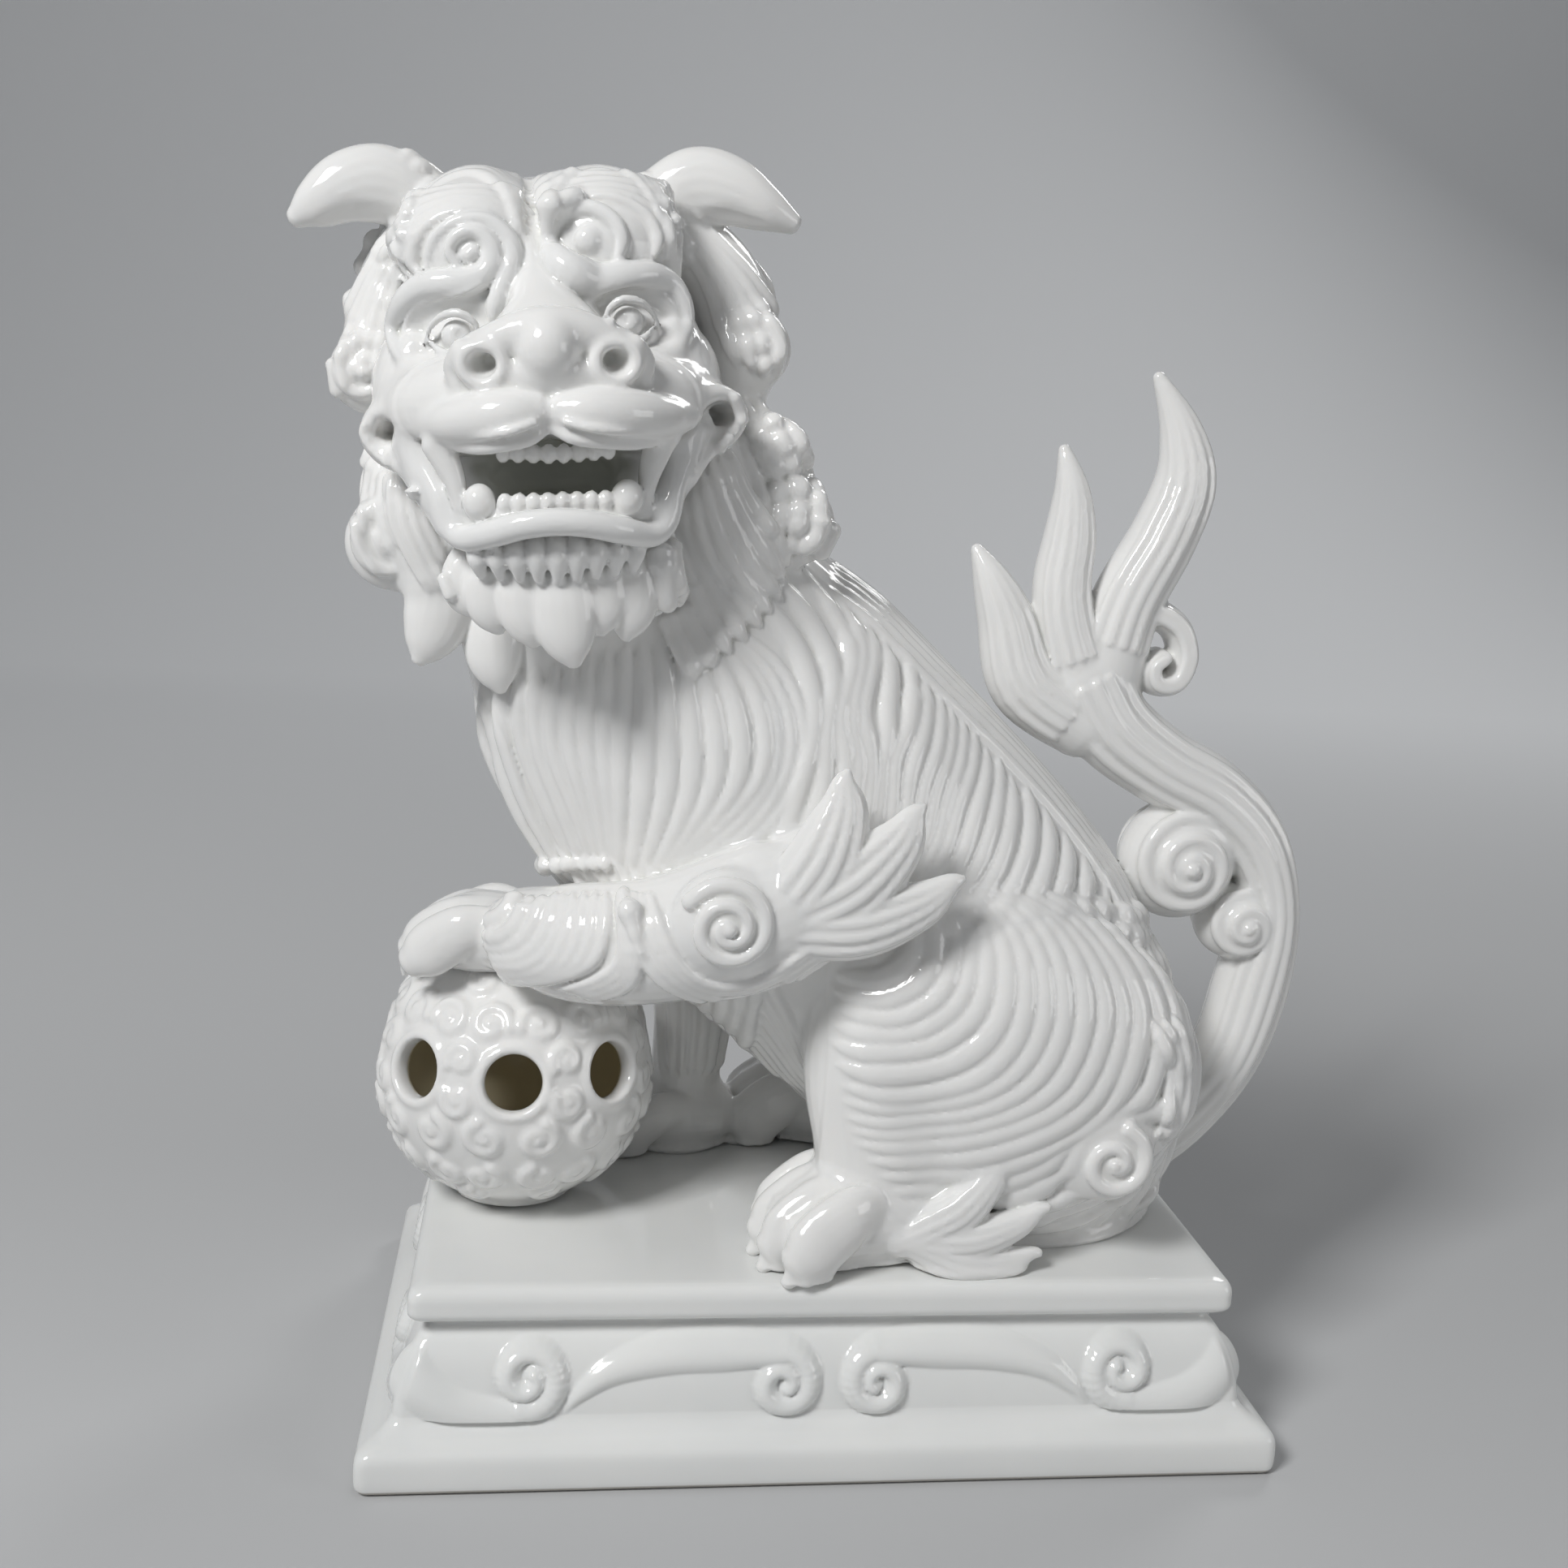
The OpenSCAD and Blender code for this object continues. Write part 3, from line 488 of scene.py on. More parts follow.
def glaze_group():
    """Colour and roughness of the glaze: a second, darker colour where it pools, which also paints shade
    into the hollows, and pinholes.
    """
    group = bpy.data.node_groups.new("glaze_pool_shade_and_pinholes", "ShaderNodeTree")
    side = group.interface
    for name, kind, value in (("Hollow", "NodeSocketFloat", 0.0),
                              ("Body", "NodeSocketColor", (0.8, 0.79, 0.77, 1)),
                              ("Pool_and_shade", "NodeSocketColor", (0.6, 0.62, 0.55, 1))):
        side.new_socket(name=name, in_out="INPUT", socket_type=kind).default_value = value
    side.new_socket(name="Color", in_out="OUTPUT", socket_type="NodeSocketColor")
    side.new_socket(name="Roughness", in_out="OUTPUT", socket_type="NodeSocketFloat")
    given = wire(group, "NodeGroupInput").outputs
    place = wire(group, "ShaderNodeTexCoord").outputs["Object"]
    cloud = wire(group, "ShaderNodeTexNoise", [("Vector", place)], [("Scale", 35), ("Detail", 3)])
    cloud = cloud.outputs["Fac"]
    # a few of the cells hold a pinhole
    cell = wire(group, "ShaderNodeTexVoronoi", [("Vector", place)], [("Scale", 95)]).outputs
    dot = wire(group, "ShaderNodeMapRange", [("Value", cell["Distance"])],
               [("From Min", 0.022), ("From Max", 0.03), ("To Min", 1), ("To Max", 0)])
    few = wire(group, "ShaderNodeMath", [(0, cell["Color"])], [(1, 0.86)], operation="GREATER_THAN")
    pinhole = wire(group, "ShaderNodeMath", [(0, dot.outputs[0]), (1, few.outputs[0])],
                   operation="MULTIPLY")
    # painted shade and glaze pooling: the hollows take the darker second colour
    depth = wire(group, "ShaderNodeMapRange", [("Value", given["Hollow"])],
                 [("From Min", 0.08), ("From Max", 0.6), ("To Max", 0.85)])
    pooled_and_shaded = wire(group, "ShaderNodeMix", [("Factor", depth.outputs[0]), ("A", given["Body"]),
                                           ("B", given["Pool_and_shade"])], data_type="RGBA")
    tone = shade(group, cloud, (0.3, (0.95, 0.955, 0.96)), (0.7, (1, 1, 1)))
    toned = wire(group, "ShaderNodeMix", [("A", pooled_and_shaded.outputs["Result"]), ("B", tone)],
                 [("Factor", 1)], data_type="RGBA", blend_type="MULTIPLY")
    specked = wire(group, "ShaderNodeMix", [("Factor", pinhole.outputs[0]),
                                            ("A", toned.outputs["Result"])],
                   [("B", (0.12, 0.1, 0.09, 1))], data_type="RGBA")
    rough = wire(group, "ShaderNodeMapRange", [("Value", cloud)], [("To Min", 0.07), ("To Max", 0.13)])
    wire(group, "NodeGroupOutput", [("Color", specked.outputs["Result"]),
                                    ("Roughness", rough.outputs[0])])
    return group


def porcelain(name, pool_shade_and_pinholes, body, pool_and_shade):
    """Glazed porcelain, of one colour where the glaze is thin and another, darker one where it pools and
    where shade is painted into the hollows.
    """
    material = bpy.data.materials.new(name)
    material.use_nodes = True
    tree = material.node_tree
    shader = tree.nodes["Principled BSDF"]
    for key, value in (("IOR", 1.52), ("Subsurface Weight", 0.12),
                       ("Subsurface Radius", (1.0, 0.85, 0.7)), ("Subsurface Scale", 0.0025)):
        shader.inputs[key].default_value = value
    hollow = wire(tree, "ShaderNodeAttribute", attribute_name="hollow").outputs["Fac"]
    glaze = wire(tree, "ShaderNodeGroup", [("Hollow", hollow)],
        [("Body", (*body, 1)), ("Pool_and_shade", (*pool_and_shade, 1))], node_tree=pool_shade_and_pinholes)
    tree.links.new(glaze.outputs["Color"], shader.inputs["Base Color"])
    tree.links.new(glaze.outputs["Roughness"], shader.inputs["Roughness"])
    return material


glaze_pool_shade_and_pinholes = glaze_group()
# each glaze's second colour is darker: for the figure and the ball it is glaze pooling and painted shade in
# the hollows; for the plinth it is the bare foot
ball_glaze = porcelain("ball_glaze", glaze_pool_shade_and_pinholes, (0.83, 0.825, 0.81), (0.66, 0.58, 0.38))
plinth_glaze = porcelain("plinth_glaze", glaze_pool_shade_and_pinholes, (0.81, 0.815, 0.8), (0.36, 0.33, 0.28))
white_glaze = porcelain("white_glaze", glaze_pool_shade_and_pinholes, (0.83, 0.825, 0.81), (0.52, 0.53, 0.46))


# ---- The figure's main forms ----

figure = Clay((-106, -56, 32), (106, 54, 239), SKIN)


def raised(stations):
    """Stations whose heights are measured from the slab's top."""
    return [[s[0], s[1], s[2] + SLAB, *s[3:]] for s in stations]


def volute(node, at, radius, deep, turns, start, hand, place=None, face=-1, stock=0.17, blend=1.6):
    """A domed disc with a low spiral roll on it, facing -Y (face = -1) or +Y."""
    place = place or (lambda rows: np.array(rows, float))
    count = round(12 * turns)
    rows = []
    for k in range(count + 1):
        t = k / count
        a = math.radians(start + hand * 360 * turns * t)
        thick = radius * stock * (1 - 0.4 * t)
        r = (radius * 1.02 - thick) * (1 - 0.88 * t ** 0.92)
        lift = deep * math.sqrt(1 - min(0.93, (r / radius / 1.06) ** 2))
        rows.append([at[0] + r * math.cos(a), at[1] + face * lift, at[2] + r * math.sin(a), thick, thick])
    figure.add(egg(place([at])[0], [radius, deep, radius]), node, blend)
    figure.add(roll(place(rows), (0, 1, 0), 3, 12), node, 0.3)
    bulb = radius * 0.15
    figure.add(egg(place([[at[0], at[1] + face * (deep + 0.1), at[2]]])[0], [bulb, bulb, bulb]), node, 0.3)


def flutes(rows, side, node, count, reach=0.72, faces=(-1, 1), rise=0.5, blend=0.22, steps=5,
        ends=(0.03, 0.985)):
    """Ridges that run along a limb, side by side on its two broad faces."""
    p = smooth_path(rows, steps)
    first, last = int(ends[0] * len(p)), int(math.ceil(ends[1] * len(p)))
    p = p[first:last]
    heading = unit(np.gradient(p[:, :3], axis=0))
    side = np.array(side, float)
    u = unit(side - heading * (heading @ side)[:, None])
    v = np.cross(heading, u)
    laid = []
    for face in faces:
        for k in range(count):
            c = ((k + 0.5) / count * 2 - 1) * reach
            r = p[:, 4] * reach / count * 1.06
            high = p[:, 3] * math.sqrt(1 - c * c)
            normal = unit(u * face * math.sqrt(1 - c * c) * p[:, 4:5] + v * c * p[:, 3:4])
            line = p[:, :3] + v * (p[:, 4] * c)[:, None]
            line = line + u * face * high[:, None] + normal * (r * (rise - 0.9))[:, None]
            stations = np.column_stack([line, r, r * 0.9])
            across = np.cross(heading, normal)
            laid.append(swept(stations, across, 10, 0.8, 2))
    figure.add(together(laid), node, blend)


CHEST_W, CHEST_D, RUMP_W, RUMP_D = 31, 40, 33, 36
figure.add(roll(raised([[-46, 0, 127, CHEST_W - 4, CHEST_D - 9], [-25, 0, 97, CHEST_W, CHEST_D + 1],
    [2, 0, 72.5, CHEST_W + 1, CHEST_D + 1], [27, 0, 48, RUMP_W, RUMP_D + 4],
    [40, 0, 27, RUMP_W - 1, RUMP_D], [42, 0, 9, RUMP_W - 3, RUMP_D - 4]]), around=48), "torso")


def from_side(s):
    """Guides drawn as [x, z] are laid on from the left side (s = -1) or the right."""
    def place(g):
        start = np.column_stack([g[:, 0], np.full(len(g), s * 75.0), g[:, 1]])
        return start, (0, -s, 0)
    return place


def from_breast(g):
    """Guides drawn as [y, z] are laid on the breast."""
    start = np.column_stack([-82 - 0 * g[:, 0], g[:, 0], g[:, 1] - 12])
    return start, unit(np.array([0.88, 0, 0.36]))


def from_back(g):
    """Guides drawn as [run down the back, y] are laid on the back."""
    start = np.column_stack([-4 + g[:, 0] * 0.75 + 20, g[:, 1], 164 - g[:, 0] * 0.66 + 22])
    return start, unit(np.array([-0.66, 0, -0.75]))


def from_rear(g):
    """Guides drawn as [y, z] are laid on the rump from behind."""
    return np.column_stack([110 + 0 * g[:, 0], g[:, 0], g[:, 1]]), (-1, 0, 0)


# Hair of the breast, the flanks and the belly, then of the back
breast = [[(-67, 141), (-65, 130), (-60, 118), (-51, 103)],
    [(-54, 145), (-54, 130), (-49, 116), (-44, 101)],
    [(-42, 150), (-42, 132), (-41.5, 118), (-41, 101)],
    [(-33, 152), (-30, 136), (-30, 122), (-37.6, 102)],
    [(-30, 155), (-19, 142), (-17.5, 127), (-30, 111), (-33, 104)],
    [(-30, 157), (-15, 147), (-9.6, 134), (-14, 120), (-24, 111), (-29, 104)]]
under_breast = [[(-53, 110), (-44, 99), (-33, 86), (-22, 74), (-10, 60)],
    [(-40, 109), (-32, 97), (-22, 84), (-12, 72), (-3, 60)],
    [(-25, 111), (-18, 98), (-12, 86), (-6, 75), (0, 64)]]
flank = [[(-20, 160), (-11.5, 150), (-8.1, 141), (-8, 132), (-11, 121), (-16, 108), (-12, 92)],
    [(-12, 166), (-4, 156), (-0.6, 148), (-3, 138), (-1.4, 128), (-4, 115), (-6, 96)],
    [(-9, 170), (-1, 160), (3.5, 150), (1.4, 139), (3, 131), (2.2, 120), (-2, 104)],
    [(-5, 171), (5, 157), (11.3, 146), (10.8, 137), (7.9, 130), (7, 119), (2, 106)],
    [(-3, 171), (9, 155), (16.8, 144), (16.8, 134), (13.7, 125.6), (11.5, 116), (6, 106)],
    [(-2, 171), (14, 153), (24, 140), (24, 130), (20.7, 122), (17, 112), (10, 104)],
    [(0, 170), (20, 150), (31.9, 133), (32.2, 124), (30, 114), (25, 106), (15, 98)],
    [(2, 169), (26, 146), (39, 128), (43.6, 117), (43, 108), (36, 99), (24, 90)],
    [(4, 168), (31, 143), (50, 120), (57, 106), (57, 97), (50, 90), (38, 82)],
    [(10, 162), (38, 137), (58, 113), (68, 97), (70, 86), (66, 74)]]
for s in (-1, 1):
    comb(breast, [4, 4, 3, 3, 3], from_side(s), samples=34, sink=0.04, plump=0.56, thick=0.44)
    comb(under_breast, [5, 5], from_side(s), samples=34, thick=0.42)
    comb(flank, [2, 2, 2, 2, 3, 3, 3, 3, 3], from_side(s), samples=40, widest=4.2, plump=0.58,
        thick=0.4, sink=0.08, keep=lambda p: np.abs(p[..., 1]) > 15)
breast_front = [[(-20, 142), (-19.5, 128), (-18, 112), (-15, 92), (-14, 74)],
    [(0, 143), (0, 128), (0, 110), (0, 92), (0, 72)],
    [(20, 142), (19.5, 128), (18, 112), (15, 92), (14, 74)]]
comb(breast_front, [6, 6], from_breast, samples=40, sink=0.04, plump=0.56, thick=0.44,
     keep=lambda p: np.abs(p[..., 1]) < 17)
back_lines = [[(2, -15), (28, -16), (52, -15), (76, -16), (98, -18)],
    [(0, -5), (26, -6), (50, -4), (74, -6), (100, -6)], [(0, 5), (28, 4), (52, 7), (76, 4), (100, 6)],
    [(2, 15), (30, 16), (54, 15), (76, 16), (98, 18)]]
comb(back_lines, [4, 4, 4], from_back, samples=40, taper=0.06, thick=0.42,
    keep=lambda p: np.abs(p[..., 1]) < 18)
rear_lines = [[(-22, 92), (-25, 76), (-24, 58), (-26, 38)], [(0, 92), (1, 76), (-1, 58), (0, 38)],
    [(22, 92), (25, 76), (24, 58), (26, 38)]]
comb(rear_lines, [7, 7], from_rear, taper=0.06)


def placed(stations, at, turn):
    """Stations turned by some degrees and carried to their place above the slab."""
    c, s = math.cos(math.radians(turn)), math.sin(math.radians(turn))
    return [[at[0] + p[0] * c - p[1] * s, at[1] + p[0] * s + p[1] * c, at[2] + p[2] + SLAB, *p[3:]]
            for p in stations]


# Stations of a paw, in shares of its length, a toe's width and its height. The pad's are [reach, height,
# half width, half height], with the width the paw's own. A toe's are [reach, how far apart, height,
# half width, half height], and so are a claw's, but with half sizes in millimetres.
PAD = ((0.42, 0.5, 0.38, 0.42), (0, 0.5, 0.44, 0.48), (-0.28, 0.4, 0.4, 0.36))
TOE = ((-0.06, 0.8, 0.66, 0.46, 0.26), (0.14, 1, 0.66, 0.6, 0.3), (0.3, 1.04, 0.5, 0.57, 0.33),
       (0.42, 1.08, 0.34, 0.6, 0.31), (0.5, 1.08, 0.24, 0.5, 0.22))
CLAW = ((0.46, 1.08, 0.3, 1.5, 1.6), (0.54, 1.1, 0.2, 1.3, 1.4), (0.565, 1.1, 0.06, 0.6, 0.6))


def paw(node, at, turn, length, width, height):
    """A paw that points along -X from its wrist: the pad, then four toes with knuckles and claws."""
    toe_width = width * 0.25
    across = (-math.sin(math.radians(turn)), math.cos(math.radians(turn)), 0)
    pad = [[length * reach, 0, height * up, width * wide, height * high] for reach, up, wide, high in PAD]
    figure.add(roll(placed(pad, at, turn), across), node, 3)
    for i in (-1.5, -0.5, 0.5, 1.5):
        back = abs(i) * 0.1
        toe = [[-length * (reach - back), i * toe_width * apart, height * up, toe_width * wide,
            height * high] for reach, apart, up, wide, high in TOE]
        claw = [[-length * (reach - back), i * toe_width * apart, height * up, wide, high]
                for reach, apart, up, wide, high in CLAW]
        figure.add(roll(placed(toe, at, turn), across, 6, 20), node, 0.5)
        figure.add(roll(placed(claw, at, turn), across, 5, 12), node, 0.3)


# A lock of a tuft, as shares: [along its length, how far it bows, offset, thickness, half width]
LOCK = ((-0.1, 0, 0, 1, 0.8), (0.16, 0.6, -0.3, 1, 0.95), (0.45, 1, -0.6, 1, 1),
        (0.76, 0.7, -0.4, 0.66, 0.72), (0.93, 0.1, -0.2, 0.4, 0.34))


def tuft(node, at, locks, depth, turn=0, blend=0.8):
    """A flame-shaped tuft of hair: locks [length, angle above +X, half width] fan out of one root."""
    side = (-math.sin(math.radians(turn)), math.cos(math.radians(turn)), 0)
    for length, angle, half in locks:
        c, d = math.cos(math.radians(angle)), math.sin(math.radians(angle))
        bow = length * 0.12
        rows = [[length * t * c + bow * b * d, off, length * t * d - bow * b * c, depth * thick,
            half * wide] for t, b, off, thick, wide in LOCK]
        rows = placed(rows + [[length * c, 0, length * d, 1, 0.9]], at, turn)
        figure.add(roll(rows, side, 8, 20), node, blend)
        flutes(rows, side, node, 4, 0.8)


haunch = [[(4.9, 105.4), (11, 101.6), (11.9, 97), (8.7, 93), (3.9, 90.8), (-1.6, 90.7)],
    [(11.8, 105.6), (18.6, 101.2), (19.1, 94.6), (15.6, 88.4), (8.3, 84.4), (-1.6, 85)],
    [(16.7, 107.2), (23.5, 102.3), (25.6, 94.7), (23.3, 86), (15.7, 79.7), (5, 77.8), (-2.4, 78.6)],
    [(21.9, 106.5), (29.4, 101.1), (32.6, 93.5), (31.4, 82.6), (24.4, 74.2), (12, 70), (0, 71)],
    [(27.2, 106.9), (35.8, 101), (39.6, 92.8), (39.5, 82.4), (34.1, 72.8), (23.2, 66.9), (10, 64.6),
    (1, 65)],
    [(32.9, 106), (42.7, 99), (47.7, 90.2), (47.9, 81.8), (43.1, 71.1), (33.2, 64.6), (18, 60),
    (3, 60)],
    [(38.5, 106.1), (48.6, 98.5), (54.7, 89.7), (55.5, 81.2), (51.3, 69.3), (41.3, 61), (26, 54.6),
    (8, 54)],
    [(48, 104.7), (56.9, 97), (63, 87), (64.8, 77), (62.6, 67), (54, 66), (46, 62), (42, 54), (30, 48),
    (12, 48)],
    [(55, 102), (64, 92), (69, 80), (70.4, 68), (67, 55), (60, 47.6), (48, 44.6), (36, 42), (20, 42)],
    [(59.7, 101), (68.3, 92), (74, 80), (75.7, 68), (74, 56), (70, 45), (62, 38), (48, 37)]]
for s, side_name in SIDES:
    figure.add(roll(raised([[14, s * 24, 52, 12, 19], [26, s * 25, 44, 15, 28], [39, s * 25, 32, 15, 33],
        [46, s * 22, 20, 15, 30]]), around=36), side_name + "_hind_leg", 5)
    figure.add(roll(raised([[17, s * 26, 52, 12, 20], [9, s * 27, 38, 11, 15], [9, s * 28, 22, 10, 12],
        [11, s * 28, 8, 10, 12]]), around=30), side_name + "_hind_leg", 4)
    comb(haunch, [2, 2, 2, 2, 2, 2, 2, 2, 2], from_side(s), samples=44, plump=0.6, thick=0.4)
    # the whorl at the hip: a low dome with a spiral roll, and two locks that run into it
    volute(side_name + "_hind_leg", (51.9, s * 36.6, 57.3), 8.6, 3.6, 1.45, 70, -1, face=s, stock=0.2,
        blend=2.6)
    into = [[(58, 84), (62, 76), (63, 68), (61.6, 61)], [(63, 84), (66, 76), (66.6, 66), (64, 58)]]
    comb(into, [2], from_side(s), sink=-0.05)
    paw(side_name + "_hind_paw", (0.8, s * 31, -0.5), s * -10, 27.5, 25, 19)

# The right foreleg stands on the slab, and the left lies across the chest with its paw on the ball
figure.add(roll(raised([[-24, 19, 74, 11, 14], [-25, 24, 54, 10, 11], [-23, 25, 32, 8, 8],
    [-24, 25, 10, 7.5, 7.5], [-25, 25, 2, 8, 8]])), "right_foreleg", 4)
for s in (-1, 1):
    upper_leg = [[(-35, 108), (-35.4, 88), (-32, 66), (-31, 52)],
                 [(-14, 104), (-15, 86), (-15.6, 66), (-17, 52)]]
    comb(upper_leg, [7], from_side(s))
paw("right_foreleg", (-29, 25, -0.5), 0, 27, 22, 15)
figure.add(roll(raised([[-7, -32, 74, 10, 10], [-14, -34, 69, 12, 12.5], [-33, -32, 62, 11, 11.5],
    [-49, -25, 59, 10, 11], [-57.5, -16.5, 58.7, 10, 8.4]]), around=30), "left_foreleg", 1.6)
forearm = [[(-60.6, 105), (-62.4, 101.6), (-66.6, 99), (-71, 98)],
    [(-56.8, 106.4), (-57.5, 101.1), (-61.1, 95.9), (-66.3, 94.2), (-72, 94.5)],
    [(-52.6, 107.6), (-53.4, 100), (-57.3, 93.6), (-64.5, 90.6), (-72, 91)],
    [(-49.4, 108.6), (-50.6, 98), (-54.2, 91.8), (-61.2, 88.6), (-68, 87.4)],
    [(-44, 110), (-44.1, 99.3), (-46.7, 93.7), (-53.9, 89.2), (-63, 86.4)]]
comb(forearm, [2, 2, 2, 3], from_side(-1), samples=34, taper=0.08, narrowest=1.8, sink=-0.08, plump=0.56)
under_arm = [[(-41, 109), (-41, 97), (-44.6, 91.6), (-52, 87.4)],
    [(-39.6, 100), (-38.4, 94), (-40.6, 89.4), (-47, 86)]]
comb(under_arm, [3], from_side(-1), samples=34, narrowest=1.6, sink=-0.08, plump=0.56)
elbow = [[(-40.6, 106), (-37, 96), (-31.5, 90.4), (-23.6, 87.6), (-15, 89.4), (-7, 95), (2, 101)],
    [(-37.6, 110.6), (-34.4, 101.4), (-30, 94.8), (-24.6, 91.6), (-17.6, 92.2), (-10, 98), (-1, 105)]]
comb(elbow, [3], from_side(-1), samples=40, taper=0.08, narrowest=1.8, sink=-0.08, plump=0.56)
paw("left_foreleg", (-67, -8.5, 48.2), -16, 27, 24, 16)
tuft("left_elbow_tuft", (-15, -40.6, 68.6), [[29, 66, 7], [33, 39, 7.2], [34.6, 13, 6.4]], 4)
tuft("right_elbow_tuft", (-18, 31, 52), [[27, 67, 6], [31.8, 36, 5.4], [33.6, 9, 5.2]], 4)
volute("left_elbow_tuft", (-23.2, -41.4, 103.2), 9.4, 6, 2.1, 150, -1)
for s, side_name in SIDES:
    tuft(side_name + "_hock_tuft", (14, s * 36.5, 7.5), [[24, 42, 4.6], [27, 12, 4.2], [25.8, -8, 4]],
        3.4, s * 4)

# ---- The head ----

LEAN = math.radians(4.9)
HEAD = np.array([-57.0, -14.0, 196.0])


def head_rows(stations):
    """Stations or points in the head's own frame, carried to their place."""
    p = np.array(stations, float)
    c, s = math.cos(LEAN), math.sin(LEAN)
    x = p[:, 0] * c - p[:, 2] * s
    z = p[:, 0] * s + p[:, 2] * c
    out = p.copy()
    out[:, 0], out[:, 2] = x + HEAD[0], z + HEAD[2]
    out[:, 1] += HEAD[1]
    return out


def leaning(way):
    """A direction of the head's own frame, turned with the head."""
    c, s = math.cos(LEAN), math.sin(LEAN)
    return np.array([way[0] * c - way[2] * s, way[1], way[0] * s + way[2] * c])


def head_roll(stations, side=(0, 0, 1), steps=8, around=20):
    """A roll of clay drawn in the head's frame."""
    return roll(head_rows(stations), leaning(side), steps, around)


def head_egg(at, radii):
    """An ellipsoid placed in the head's frame."""
    return egg(head_rows([at])[0], radii)


figure.add(roll(head_rows([[0, 11, 20, 18, 10], [1, 20, 8, 24, 12], [3, 23, -12, 29, 13],
    [7, 20, -32, 28, 12], [11, 14, -48, 22, 9]]), (1, 0, 0), around=40), "nape_mane", 4)


def lay_in_head(rolls, node, blend, side=(0, 0, 1), steps=8, around=16):
    """Adds rolls drawn in the head\'s frame."""
    figure.add(together([head_roll(rows, side, steps, around) for rows in rolls]), node, blend)


def carve_in_head(rolls, blend=0.8, side=(0, 0, 1), steps=8, around=16, node=None):
    """Carves rolls drawn in the head\'s frame."""
    figure.cut(together([head_roll(rows, side, steps, around) for rows in rolls]), blend, node)


def pair(rows):
    """The roll and its mirror image."""
    return [mirrored(rows), rows]


def tubes(path, radii):
    """Round stations along a path, with its half sizes spaced along it."""
    p = np.array(path, float)
    r = np.interp(np.linspace(0, 1, len(p)), np.linspace(0, 1, len(radii)), radii)
    return [[*q, a, a] for q, a in zip(p, r)]


def from_brow(g):
    """Guides drawn as [u, w] in the head's frame are laid on its face."""
    return head_rows(np.column_stack([g[:, 0], np.full(len(g), -62.0), g[:, 1]])), (0, 1, 0)


def lay_on_face(strands, node, blend=0.5, sink=0.2, ease=5):
    """Rolls drawn on the face as [u, w, half width, half height], laid on the clay that is there."""
    rolls = []
    for rows in strands:
        p = smooth_path(np.array(rows, float), 5)
        start, way = from_brow(p[:, :2])
        at = figure.settle(start, way)
        n = figure.normals(at)
        for _ in range(ease):
            at[1:-1, 1] = (at[:-2, 1] + at[1:-1, 1] * 2 + at[2:, 1]) / 4
            n[1:-1] = (n[:-2] + n[1:-1] * 2 + n[2:]) / 4
        n = unit(n)
        rows = np.column_stack([at - n * (sink * p[:, 3:4]), p[:, 2], p[:, 3]])
        rolls.append(swept(rows, np.cross(np.gradient(at, axis=0), n), 20, 0.8, 3))
    figure.add(together(rolls), node, blend)


# Skull, crown lobes, cheeks
lay_in_head([[[0, 4, 18, 16.8, 17.5], [0, 1, 13, 23.4, 22], [0, 0, 5, 26.3, 24.5], [0, 0, -8, 26.3, 24],
    [0, 3, -20, 23.5, 21], [0, 6, -31, 16.8, 16]]], "head", 2, (1, 0, 0), 8, 44)
for s in (-1, 1):
    figure.add(head_egg([s * 10.5, -5, 19.5], [12.8, 16.5, 13.5]), "head", 3)
    figure.add(head_egg([s * 18, -12, -3], [11.5, 10.5, 12]), "head", 4)
    figure.add(head_egg([s * 14, -13, 3], [9, 9.5, 9]), "head", 3)
    figure.add(head_egg([s * 11, -12, 18.6], [11.5, 11, 9.5]), "head", 3)
    figure.add(head_egg([s * 13, -13.2, 9], [11.5, 9.6, 7]), "head", 3)
# The bridge of the nose and the muzzle
lay_in_head([[[-2.2, -15.5, 19, 1.6, 4], [-1.6, -18, 15.4, 2.2, 5], [-1, -20.4, 12.4, 3.4, 5],
    [-0.7, -22.8, 10.4, 4.8, 5], [0, -25.6, 8.2, 6.4, 4.8], [0.5, -29.4, 5.2, 9, 4.6],
    [0.5, -33, 1.5, 10.2, 5]]], "head", 2, (1, 0, 0), 8, 28)
lay_in_head(pair([[2, -27, -5, 7.5, 8], [9, -27, -6, 8, 8], [17, -23, -6.6, 7.6, 8], [22, -16, -7, 6, 7]]),
    "head", 4, (0, 0, 1), 8, 28)
# The open mouth
carve_in_head([[[0.6, -48, -17.6, 17, 4.4], [0.4, -36, -17.6, 15.6, 4.4], [0.2, -28, -17.6, 14, 4.6],
    [0, -20, -17.6, 10, 3.6]]], 1.5, (1, 0, 0), 8, 32, "head")
# Upper lips: two fleshy lobes with a fold along their lower edge
for s, wide in ((-1, 0.84), (1, 0.98)):
    lobe = [[2.4, -36.8, -8.2, 3.4, 3.4], [7, -36.8, -8.4, 4.2, 4.5], [12, -35, -8.8, 4.5, 5],
        [17, -31.4, -9.2, 4.1, 4.8], [20.8, -27, -9.4, 3.2, 4], [23.4, -22, -9.6, 2.4, 3.2]]
    rim = tubes([[0.8, -37.6, -10.6], [4, -38.7, -12.2], [9, -38, -13], [14, -35.4, -13.2],
        [19, -31, -12.4], [22.6, -26, -11.6]], [1.1, 1.2, 1.2, 1.2, 1.1, 0.9])
    crease = tubes([[2.6, -40.3, -9.7], [7, -41, -10.9], [12, -39, -11.4], [17, -35, -11.2]],
        [0.7, 0.8, 0.8, 0.6])
    for rows, blend in ((lobe, 1.4), (rim, 0.5), (crease, 0.6)):
        figure.add(head_roll([[s * wide * p[0], *p[1:]] for p in rows], (0, 0, 1), 8, 24), "head", blend)
carve_in_head([tubes([[0.1, -43, -5.6], [0.1, -41.6, -8], [0.1, -40.4, -11], [0.1, -39, -13.6]],
    [0.7, 0.8, 1.0, 1.0])], 1.4)
